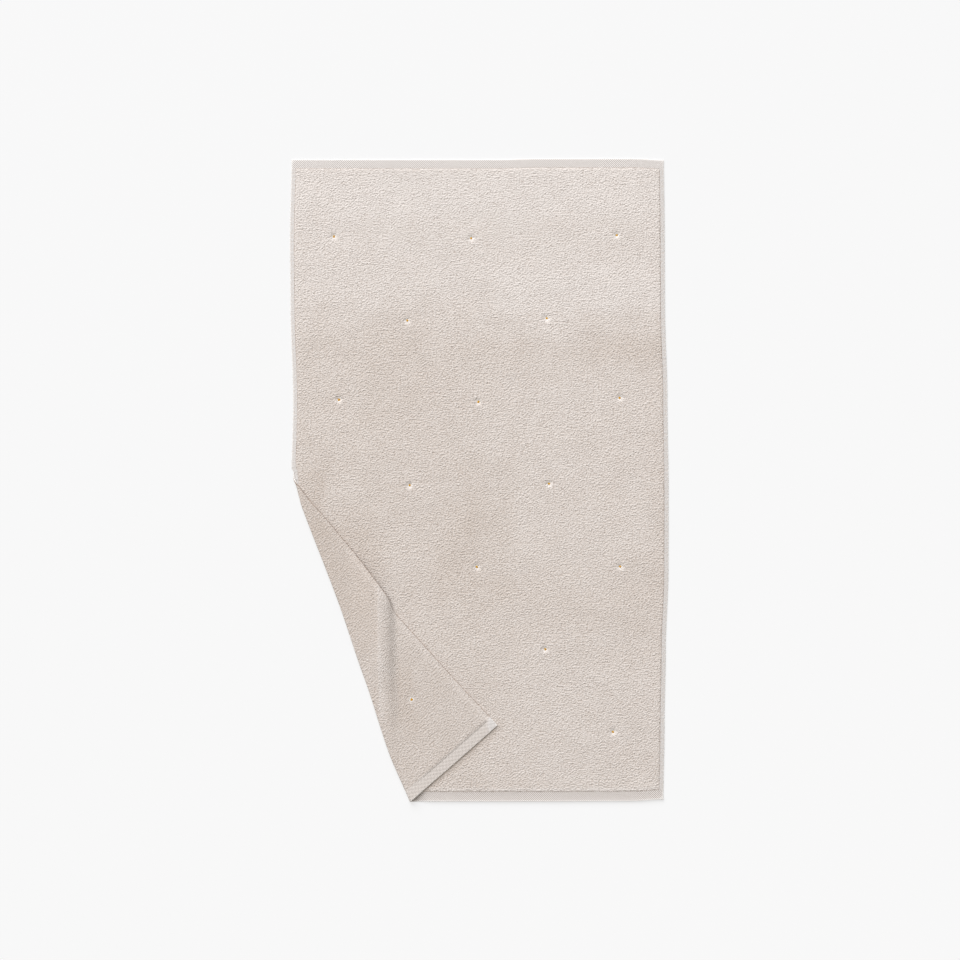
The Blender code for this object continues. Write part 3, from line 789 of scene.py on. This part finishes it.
def shows(across, along, front):
    """Whether the cloth is seen at flat places of its front or its back.  The front is hidden well under
    the folded corner, and on its underside."""
    slip, into = fold_place(across, along)
    if not front:
        return into < FOLD_SHOWS
    over_across, over_along = from_fold(slip, -into - FOLD_TAKES)
    covered = (over_across > -WIDTH / 2 + HIDDEN_MARGIN) & (over_along > -LENGTH / 2 + HIDDEN_MARGIN)
    return (into > 0.0) & ~covered


def in_corner(across, along):
    """Whether flat places lie in the folded corner."""
    return fold_place(across, along)[1] < -FOLD_TAKES


def near_tacks(across, along, tacks, reach):
    """Whether flat places are near a tack of their layer."""
    laid = lay_middle(across, along)
    upper = in_corner(across, along)
    near = np.zeros(len(across), bool)
    for place, above in tacks:
        near |= (away_from(laid, place) < reach) & (upper == above)
    return near


def flat_mesh(tacks):
    """The uncut cloth as a closed flat mesh: front at z = 1, back at z = 0, rim between them at 0.5.
    It is fine where the cloth shows and coarse where it is hidden."""
    columns, column_blocks = lines_over(WIDTH / 2, SIDE_HEM_WIDE, SIDE_HEM_WIDE, MESH_ACROSS, BLOCK_ACROSS)
    rows, row_blocks = lines_over(LENGTH / 2, BOTTOM_HEM_WIDE, TOP_HEM_WIDE, MESH_ALONG, BLOCK_ALONG)
    size = len(columns), len(rows)
    left, low = (g.ravel() for g in np.meshgrid(column_blocks[:-1], row_blocks[:-1], indexing="ij"))
    right, top = (g.ravel() for g in np.meshgrid(column_blocks[1:], row_blocks[1:], indexing="ij"))
    middle = (columns[left] + columns[right]) / 2, (rows[low] + rows[top]) / 2
    tacked = near_tacks(*middle, tacks, TACK_MARGIN)

    # The blocks of the back and of the front, and the points that each uses.
    blocks, used = [], []
    for is_front in (False, True):
        blocks.append(list(zip(left, right, low, top, shows(*middle, is_front) | tacked)))
        points = np.zeros(size, bool)
        points[np.ix_(column_blocks, row_blocks)] = True
        for a, b, c, d, fine in blocks[-1]:
            if fine:
                points[a:b + 1, c:d + 1] = True
        used.append(points)
    back, front = used
    rim = np.zeros(size, bool)
    rim[[0, -1], :] = True
    rim[:, [0, -1]] = True
    front |= rim & back
    back &= ~rim

    # The front's points and the rim's are numbered first, then the back's.
    numbers = np.full((2, *size), -1)
    numbers[1][front] = np.arange(front.sum())
    numbers[0][rim] = numbers[1][rim]
    numbers[0][back] = front.sum() + np.arange(back.sum())
    places = []
    for points, height in ((front, np.where(rim, 0.5, 1.0)), (back, np.zeros(size))):
        i, j = np.nonzero(points)
        places += np.stack((columns[i], rows[j], height[i, j]), axis=-1).tolist()

    faces = []
    for n, order, side_blocks in zip(numbers.tolist(), (-1, 1), blocks):
        for a, b, c, d, fine in side_blocks:
            if fine:
                faces += [(n[i][j], n[i + 1][j], n[i + 1][j + 1], n[i][j + 1])[::order]
                          for i in range(a, b) for j in range(c, d)]
            else:
                ring = [n[i][c] for i in range(a, b)] + [n[b][j] for j in range(c, d)]
                ring += [n[i][d] for i in range(b, a, -1)] + [n[a][j] for j in range(d, c, -1)]
                faces.append(tuple(k for k in ring if k >= 0)[::order])
    mesh = bpy.data.meshes.new("towel_cloth_flat")
    mesh.from_pydata(places, [], faces)
    return mesh


def refine(bm, chosen, cuts):
    """Cut the edges that run across the cloth, where chosen(across, along, on_front) says so."""
    edges = [e for e in bm.edges if abs(e.verts[0].co.y - e.verts[1].co.y) < SAME_LINE]
    ends = np.array([[*e.verts[0].co, *e.verts[1].co] for e in edges])
    across, along, side = (ends[:, k] / 2 + ends[:, k + 3] / 2 for k in range(3))
    long = np.abs(ends[:, 0] - ends[:, 3]) > MESH_ACROSS * CUT_FROM
    picked = [e for e, want in zip(edges, chosen(across, along, side > 0.5) & long) if want]
    bmesh.ops.subdivide_edges(bm, edges=picked, cuts=cuts, use_grid_fill=False)


def finer_cloth(mesh, tacks, sizes):
    """The flat mesh, cut finer round the tacks and the fold, on the ridge and beside the end seams."""
    bm = bmesh.new()
    bm.from_mesh(mesh)

    def at_crest(across, along, on_front):
        """On the crest of the ridge."""
        laid = lay_middle(across, along)
        crest, _, height = ridge_at(laid[:, 1])
        on_crest = (np.abs(laid[:, 0] - crest) < CREST_WIDE * 2) & (height > 0.0)
        return ~on_front & in_corner(across, along) & on_crest

    def at_fold(across, along, on_front):
        """Round the fold, where the back is outside."""
        into = fold_place(across, along)[1]
        return ~on_front & (into < FOLD_SHOWS) & (into > -FOLD_TAKES - FOLD_MARGIN)

    def at_tack(across, along, on_front):
        """In the hollows that the tacks pull, on both faces."""
        return near_tacks(across, along, tacks, sizes.dimple_radius)

    def at_end_seam(across, along, on_front):
        """Beside the seam of an end hem, where the front shows."""
        beside = np.abs(past_seams(across, along)[1]) < SEAM_MARGIN
        return beside & shows(across, along, True) & on_front

    for chosen, cuts in ((at_crest, 2), (at_fold, 3), (at_tack, 3), (at_end_seam, 1)):
        refine(bm, chosen, cuts)
    bm.to_mesh(mesh)
    bm.free()
    return mesh


def pile_relief(across, along, sizes):
    """Height of the loop clumps and of the soft swell of the pile, both about zero."""
    strokes = wander(across, along, *STROKES) + 0.5 * wander(across, along, *CLUMPS)
    return sizes.relief * strokes + sizes.swell * wander(across, along, *SWELL)


def nap_tone_and_painted_light(x, y):
    """Painted light and shade of the nap's patches at places on the floor plan, from browner (-1) to paler
    (1).
    """
    lean = np.zeros_like(x)
    for row in NAP_AND_PAINTED_LIGHT_ROWS:
        aside = 1.0 - ease(np.abs(x - row.x) / row.wide - 1.0)
        lean += row.lean * aside * (1.0 - ease(np.abs(y - row.y) / row.high - 1.0))
    return lean


def beside_corner_hem(x, y):
    """From 1 at the folded corner's hem edge to 0 away from it, for places on the floor plan: where the
    painted shadow beside that hem falls.
    """
    tip, heel = (lay(np.array([across]), np.array([-LENGTH / 2]), np.array([0.0]))[0, :2]
                 for across in (-WIDTH / 2, FOLD_END[0] - FOLD_TAKES * 2))
    edge = heel - tip
    share = np.clip(((x - tip[0]) * edge[0] + (y - tip[1]) * edge[1]) / np.sum(edge ** 2), 0.0, 1.0)
    away = np.hypot(x - tip[0] - share * edge[0], y - tip[1] - share * edge[1])
    return 1.0 - ease(away / HEM_SHADE_OVER)


def tone_and_painted_light_at(x, y, across, along, side, upper):
    """Tone and painted light at every point of the cloth: painted light and shade of the nap's patches,
    painted shadow beside the folded corner's hem, painted highlight and light on the ridge, painted light and
    darker loops beside the end seams, a painted highlight on the corner's tip, and paler side edges on the
    back.
    """
    lean = nap_tone_and_painted_light(x + NAP_WANDERS * wander(across, along, *NAP_ASIDE),
                    y + NAP_WANDERS * wander(across, along, *NAP_UP))
    # painted shadow beside the folded corner's hem
    lean += HEM_SHADE * beside_corner_hem(x, y) * ~upper
    crest, foot, height = ridge_at(y)
    ridged = ease(height / LIP_NEEDS) * upper
    # painted highlight on the crest, and painted light on the shaded steep side
    lean += CREST_PAINTED_HIGHLIGHT * (1.0 - ease(np.abs(x - crest - CREST_PAST) / CREST_WIDE)) * ridged
    lean += STEEP_PAINTED_LIGHT * ease((x - crest) / CREST_WIDE) * (1.0 - ease((x - foot) / CREST_WIDE + 1.0)) * ridged
    # darker loops past the top seam, painted light past the bottom seam
    past = np.abs(past_seams(across, along)[1] - SEAM_TONE_OVER / 2)
    by_seam = np.where(along > 0.0, TOP_SEAM_DARKENING, BOTTOM_SEAM_PAINTED_LIGHT) * (side > 0.5)
    lean += by_seam * (1.0 - ease(past / SEAM_TONE_OVER))
    # painted highlight on the folded corner's tip
    from_tip = np.hypot(across + WIDTH / 2, along + LENGTH / 2)
    lean += TIP_PAINTED_HIGHLIGHT * (1.0 - ease(from_tip / TIP_HIGHLIGHT_OVER - 1.0)) * (side < 0.5)
    inside = WIDTH / 2 - np.abs(across)
    return lean + EDGE_LEAN * (1.0 - ease(inside / EDGE_LEAN_OVER) ** 2) * (side < 0.5)


def flowing(across, along, sizes):
    """Flat places with the rows of loops bent out of line, away from the hems."""
    free = ease((np.minimum(*past_seams(across, along)) - SEAM_ROWS[-1].past) / FLOW_STARTS)
    drift = wander(across, along, *DRIFT) + 0.5 * wander(across, along, *FINE_DRIFT)
    shuffle = wander(across, along, *SHUFFLED)
    return across + free * SHUFFLE * shuffle, along + free * sizes.flow * drift


def make_cloth(context):
    """The finished cloth: its mesh shaped, laid down and dressed."""
    sizes = context.scene.towel_sizes
    shift = centre_shift()
    tacks = [(np.array(middle)[:2] - shift, above) for middle, above in tack_middles().values()]
    mesh = finer_cloth(flat_mesh(tacks), tacks, sizes)
    flat = np.empty(len(mesh.vertices) * 3, np.float32)
    mesh.vertices.foreach_get("co", flat)
    flat_across, flat_along, side = flat.reshape(-1, 3).astype(float).T
    relief = pile_relief(flat_across, flat_along, sizes) * in_pile(flat_across, flat_along)
    across, along = flowing(flat_across, flat_along, sizes)
    past_side, past_end = past_seams(across, along)
    past_both = np.minimum(past_side, past_end)
    fray = sizes.ragged * wander(across, along, *FRAY) * (past_both > SEAM_ROWS[1].past)
    back = faces_of_cloth(across, along)[1]
    front = faces_of_cloth(across * (1.0 - fray / WIDTH * 2), along * (1.0 - fray / LENGTH * 2))[0]
    laid = lay(across, along, (front + back) / 2)
    upper = in_corner(across, along)
    front += relief - sizes.relief * in_pile(across, along)
    back += np.abs(relief) * BACK_RELIEF
    # paler stretched loops round each tack, which also paint a highlight in its hollow
    pulled = np.zeros(len(side))
    for place, above in tacks:
        away = away_from(laid, place)
        here = upper == above
        dimple = 1.0 - ease(away / sizes.dimple_radius)
        pulled = np.maximum(pulled, here * dimple ** PULLED_HIGHLIGHT_CURVE)
        front -= here * sizes.dimple_depth * dimple ** DIMPLE_CURVE
        back += here * sizes.recess_depth * (1.0 - ease(away / sizes.recess_radius))
    places = lay(across, along, back + (front - back) * side)
    places[:, :2] += shift
    mesh.vertices.foreach_set("co", places.astype(np.float32).ravel())
    values = {
        "past_seam": np.where(side < 0.5, past_end - BACK_WIDER, past_both),
        # painted light and shade of the nap, with the tone of the back's side edges
        "lean": tone_and_painted_light_at(*(places[:, :2] - shift).T, across, along, side, upper),
        "from_edge": inside_edge(flat_across, flat_along),
        "pulled": pulled,
    }
    for name, column in values.items():
        attribute = mesh.attributes.new(name, "FLOAT", "POINT")
        attribute.data.foreach_set("value", column.astype(np.float32))
    face = np.stack((across, along, side * FACES_APART), axis=-1).astype(np.float32)
    mesh.attributes.new("flat", "FLOAT_VECTOR", "POINT").data.foreach_set("vector", face.ravel())
    dress_cloth(mesh, across, along, side, context.scene.towel_colours)
    mesh.update()
    return add_object(context, "terry_cloth", mesh)


def dress_cloth(mesh, across, along, side, colours):
    """Smooth shading, a material for each part of the cloth, and a map of its two faces side by side."""
    for material in (terry_material("cotton terry, looped front", colours, TERRY_FRONT),
                     terry_material("cotton terry, back", colours, TERRY_BACK),
                     end_hem_material("cotton end hem, dobby woven", colours, HEM_FRONT),
                     side_hem_material("cotton side hem, turned", colours),
                     end_hem_material("cotton end hem, back", colours, HEM_BACK)):
        mesh.materials.append(material)
    front_pile, back_pile, front_end, side_hem, back_end = range(5)
    loops = np.empty(len(mesh.loops), np.int32)
    mesh.loops.foreach_get("vertex_index", loops)
    starts, totals = np.empty((2, len(mesh.polygons)), np.int32)
    mesh.polygons.foreach_get("loop_start", starts)
    mesh.polygons.foreach_get("loop_total", totals)
    middle = [np.add.reduceat(values[loops], starts) / totals for values in (across, along, side)]
    on_front = middle[2] > 0.5
    past_side, past_end = (past - np.where(on_front, 0.0, BACK_WIDER) for past in past_seams(*middle[:2]))
    part = np.where(on_front, front_pile, back_pile)
    part = np.where((past_side < 0.0) & on_front, side_hem, part)
    part = np.where(past_end < 0.0, np.where(on_front, front_end, back_end), part)
    mesh.polygons.foreach_set("material_index", part.astype(np.int32))
    mesh.polygons.foreach_set("use_smooth", np.ones(len(mesh.polygons), bool))
    cloth_map = mesh.uv_layers.new(name="OFBake")
    left = np.where(np.repeat(on_front, totals), 0.0, 0.5)
    u = left + 0.25 + across[loops] / (WIDTH * 2) * MAP_WIDE
    v = 0.5 + along[loops] / (LENGTH * MAP_HIGH)
    cloth_map.uv.foreach_set("vector", np.stack((u, v), axis=-1).astype(np.float32).ravel())


class TOWEL_OT_make_cloth(bpy.types.Operator):
    """Make the terry cloth with its hems, dimples, folded corner and ridge"""

    bl_idname = "towel.make_cloth"
    bl_label = "Make Cloth"

    def execute(self, context):
        cloth = make_cloth(context)
        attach(cloth, BODY)
        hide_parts(CLOTH_NODE)
        return {"FINISHED"}


# ---- Stitches ----

def seam_lines(sizes):
    """The middles of all hem stitches: flat place, direction of the seam, and 1 on the front."""
    pitch = sizes.stitch_length + sizes.stitch_gap
    rows = []
    for front in (1.0, 0.0):
        inset = sizes.stitch_thread * SEAM_INSET - BACK_WIDER * (1.0 - front)
        side = WIDTH / 2 - SIDE_HEM_WIDE + inset
        top, bottom = LENGTH / 2 - TOP_HEM_WIDE + inset, -LENGTH / 2 + BOTTOM_HEM_WIDE - inset
        rows += [(x, y, 0.0, 1.0, front) for x in (-side, side) for y in np.arange(bottom, top, pitch)]
        rows += [(x, y, 1.0, 0.0, front) for y in (bottom, top) for x in np.arange(-side, side, pitch)]
    return np.array(rows)


def thread_bead(long, thick, sides=6):
    """A short thread lying along X: two rings and two sunken tips."""
    turn = np.arange(sides) * math.tau / sides
    ring = np.stack((turn * 0.0, np.sin(turn), np.cos(turn)), axis=-1) * thick / 2
    low, high = ring - (long * BEAD_RING, 0, 0), ring + (long * BEAD_RING, 0, 0)
    sunk = -thick * BEAD_SUNK
    points = np.concatenate((low, high, ((-long / 2, 0, sunk), (long / 2, 0, sunk))))
    faces = []
    for k in range(sides):
        n = (k + 1) % sides
        faces += [(k, n, sides + n, sides + k), (n, k, 2 * sides), (sides + k, sides + n, 2 * sides + 1)]
    return points, faces


def sew_hems(context):
    """The stitches of the four hems on both faces, each a little out of line, as one piece."""
    sizes = context.scene.towel_sizes
    random = np.random.default_rng(STITCH_SEED)
    seams = seam_lines(sizes)
    count = len(seams)
    bead, faces = thread_bead(sizes.stitch_length, sizes.stitch_thread)
    long = bead[None, :, 0] * random.uniform(*STITCH_LONG, (count, 1))
    wide = bead[None, :, 1] + long * random.normal(0.0, STITCH_ASKEW, (count, 1))
    ahead, front_face = seams[:, 2:4], seams[:, 4:5] > 0.5
    across = seams[:, :1] + long * ahead[:, :1] - wide * ahead[:, 1:]
    along = seams[:, 1:2] + long * ahead[:, 1:] + wide * ahead[:, :1]
    front, back = faces_of_cloth(seams[:, :1], seams[:, 1:2])
    rise = bead[None, :, 2] + sizes.stitch_thread * random.uniform(0.0, STITCH_PROUD, (count, 1))
    depth = np.where(front_face, front + rise, back - rise + sizes.stitch_thread * BACK_SUNK)
    points = lay(across.ravel(), along.ravel(), depth.ravel())
    points[:, :2] += centre_shift()
    points[:, 2] = np.maximum(points[:, 2], 0.0)
    all_faces = [tuple(k * len(bead) + n for n in face[::1 if is_front else -1])
                 for k, is_front in enumerate(front_face[:, 0]) for face in faces]
    mesh = bpy.data.meshes.new("hem_stitches")
    mesh.from_pydata(points.tolist(), [], all_faces)
    mesh.polygons.foreach_set("use_smooth", np.ones(len(mesh.polygons), bool))
    thread_colour = context.scene.towel_colours.hem_thread
    mesh.materials.append(thread_material("cotton sewing thread", thread_colour, sizes.stitch_thread))
    return add_object(context, "hem_stitches", mesh)


class TOWEL_OT_sew_hems(bpy.types.Operator):
    bl_idname = "towel.sew_hems"
    bl_label = "Sew Hems"

    def execute(self, context):
        stitches = sew_hems(context)
        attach(stitches, BODY)
        return {"FINISHED"}


# ---- Tacks ----

def edit_all(operator, **how):
    """Use an operator on the whole active object, in edit mode."""
    bpy.ops.object.mode_set(mode="EDIT")
    bpy.ops.mesh.select_all(action="SELECT")
    operator(**how)
    bpy.ops.object.mode_set(mode="OBJECT")


def apply_place():
    """Put the selected object's own origin, turn and scale back to the world's."""
    bpy.ops.object.transform_apply(location=True, rotation=True, scale=True)


def select_only(*chosen):
    """Select these objects and nothing else, the first of them active."""
    bpy.ops.object.select_all(action="DESELECT")
    for one in chosen:
        one.select_set(True)
    bpy.context.view_layer.objects.active = chosen[0]


def model_tack(sizes, thread):
    """One tack at the origin: turns of thread in the pile and behind it, and the shank between them."""
    thick = sizes.tack_thread
    under = sizes.recess_depth
    over = PILE_DEPTH - sizes.relief - sizes.dimple_depth
    parts = []
    for row in TURN_ROWS:
        bpy.ops.object.select_all(action="DESELECT")
        bpy.ops.mesh.primitive_torus_add(
            major_radius=(sizes.tack_width - thick) / 2 * row.reach, minor_radius=thick / 2,
            major_segments=18, minor_segments=8,
            location=(0.0, 0.0, (over if row.front else under) + row.height * thick),
            rotation=(row.tilt, 0.0, row.turn))
        edit_all(bpy.ops.transform.resize, value=(1.0, row.oval, 1.0))
        parts.append(bpy.context.object)
    bpy.ops.object.select_all(action="DESELECT")
    top, bottom = over + thick * SHANK_OVER, under - thick * SHANK_UNDER
    bpy.ops.mesh.primitive_cylinder_add(vertices=10, radius=thick * SHANK_WIDE, depth=top - bottom,
                                        location=(0.0, 0.0, (top + bottom) / 2))
    edit_all(bpy.ops.mesh.bevel, offset=thick * SHANK_BEVEL, segments=2)
    parts.append(bpy.context.object)
    select_only(*parts)
    bpy.ops.object.join()
    apply_place()
    bpy.ops.object.shade_smooth()
    tack = bpy.context.object
    tack.data.materials.clear()
    tack.data.materials.append(thread)
    return tack


def on_corner(place):
    """Height of the folded corner's upper face at a place on the floor plan."""
    across, along = (grid.ravel() for grid in np.meshgrid(np.arange(-WIDTH / 2, CORNER_RIGHT, CORNER_STEP),
                                                          np.arange(-LENGTH / 2, CORNER_TOP, CORNER_STEP)))
    folded = in_corner(across, along)
    laid = lay(across[folded], along[folded], np.zeros(folded.sum()))
    return laid[np.argmin(away_from(laid, place)), 2]


def tie_tack(context, first, name, middle, above):
    """A copy of the first tack at its place, turned its own way; over on its back in the folded corner."""
    random = np.random.default_rng(int(name[-2:]))
    tack = add_object(context, name, first.data.copy())
    tack.data.name = name
    height = on_corner(np.array(middle)[:2] - centre_shift()) if above else 0.0
    tack.location = (middle.x, middle.y, height)
    tack.rotation_euler = (math.pi if above else 0.0, 0.0, random.uniform(0.0, math.tau))
    select_only(tack)
    apply_place()
    return tack


class TOWEL_OT_tie_tacks(bpy.types.Operator):
    """Tie the eighteen orange thread tacks"""

    bl_idname = "towel.tie_tacks"
    bl_label = "Tie Tacks"

    def execute(self, context):
        sizes = context.scene.towel_sizes
        colours = context.scene.towel_colours
        thread = thread_material("cotton tacking thread, orange", colours.tack_thread, sizes.tack_thread)
        first = model_tack(sizes, thread)
        for node_name, (middle, above) in tack_middles().items():
            tack = tie_tack(context, first, node_name.replace("thread_", ""), middle, above)
            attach(tack, BODY)
            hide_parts(node_name)
        bpy.data.objects.remove(first)
        return {"FINISHED"}


# ---- Stage ----

def lay_floor(stage):
    """A wide floor of pale paper under the towel."""
    bpy.ops.object.select_all(action="DESELECT")
    bpy.ops.mesh.primitive_plane_add(size=FLOOR_SIZE, location=(0.0, 0.0, 0.0))
    floor = bpy.context.object
    floor.name = "studio_floor"
    floor.data.materials.append(floor_material(stage))


def light_scene(context, stage):
    """Even light from all round, and a large soft light from the towel's top left."""
    world = bpy.data.worlds.new("even studio light")
    world.use_nodes = True
    set_inputs(world.node_tree, world.node_tree.nodes["Background"], Color=rgba(stage.fill_colour),
               Strength=stage.fill)
    context.scene.world = world

    towards = Vector((-math.sin(stage.key_turn) * math.cos(stage.key_height),
                      math.cos(stage.key_turn) * math.cos(stage.key_height),
                      math.sin(stage.key_height)))
    light = bpy.data.lights.new("window light", "AREA")
    light.shape = "SQUARE"
    light.size = stage.key_size
    light.energy = stage.key_power
    light.color = stage.key_colour
    key = add_object(context, "window_light", light)
    key.location = towards * stage.key_distance
    key.rotation_euler = towards.to_track_quat("Z", "Y").to_euler()


def set_camera(context, stage):
    """A camera straight above the towel, looking down."""
    camera = bpy.data.cameras.new("overhead camera")
    camera.sensor_width = SENSOR_WIDE
    camera.lens = camera.sensor_width * stage.camera_height / stage.view_width
    eye = add_object(context, "overhead_camera", camera)
    eye.location = (*CAMERA_ASIDE, stage.camera_height)
    context.scene.camera = eye


class TOWEL_OT_set_stage(bpy.types.Operator):
    """Set the floor, the lights and the camera"""

    bl_idname = "towel.set_stage"
    bl_label = "Set Stage"

    def execute(self, context):
        stage = context.scene.towel_stage
        lay_floor(stage)
        light_scene(context, stage)
        set_camera(context, stage)
        context.scene.view_settings.view_transform = "Standard"
        return {"FINISHED"}


class TOWEL_PT_panel(bpy.types.Panel):
    """The towel's operators and settings"""

    bl_label = "Bath Towel"
    bl_space_type = "VIEW_3D"
    bl_region_type = "UI"
    bl_category = "Towel"

    def draw(self, context):
        for operator in OPERATORS:
            self.layout.operator(operator.bl_idname)
        for group in (context.scene.towel_sizes, context.scene.towel_colours, context.scene.towel_stage):
            box = self.layout.box()
            for name in group.__annotations__:
                box.prop(group, name)


GROUPS = {"towel_sizes": TowelSizes, "towel_colours": TowelColours, "towel_stage": TowelStage}
OPERATORS = (TOWEL_OT_make_cloth, TOWEL_OT_sew_hems, TOWEL_OT_tie_tacks, TOWEL_OT_set_stage)


def register():
    """Register the settings, the operators and the panel."""
    for name, group in GROUPS.items():
        bpy.utils.register_class(group)
        setattr(bpy.types.Scene, name, bpy.props.PointerProperty(type=group))
    for operator in OPERATORS:
        bpy.utils.register_class(operator)
    bpy.utils.register_class(TOWEL_PT_panel)


def unregister():
    """Take them away again."""
    bpy.utils.unregister_class(TOWEL_PT_panel)
    for operator in OPERATORS:
        bpy.utils.unregister_class(operator)
    for name, group in GROUPS.items():
        delattr(bpy.types.Scene, name)
        bpy.utils.unregister_class(group)


def main():
    """Make the towel and its stage."""
    register()
    bpy.ops.towel.make_cloth()
    bpy.ops.towel.sew_hems()
    bpy.ops.towel.tie_tacks()
    bpy.ops.towel.set_stage()


if __name__ == "__main__":
    main()
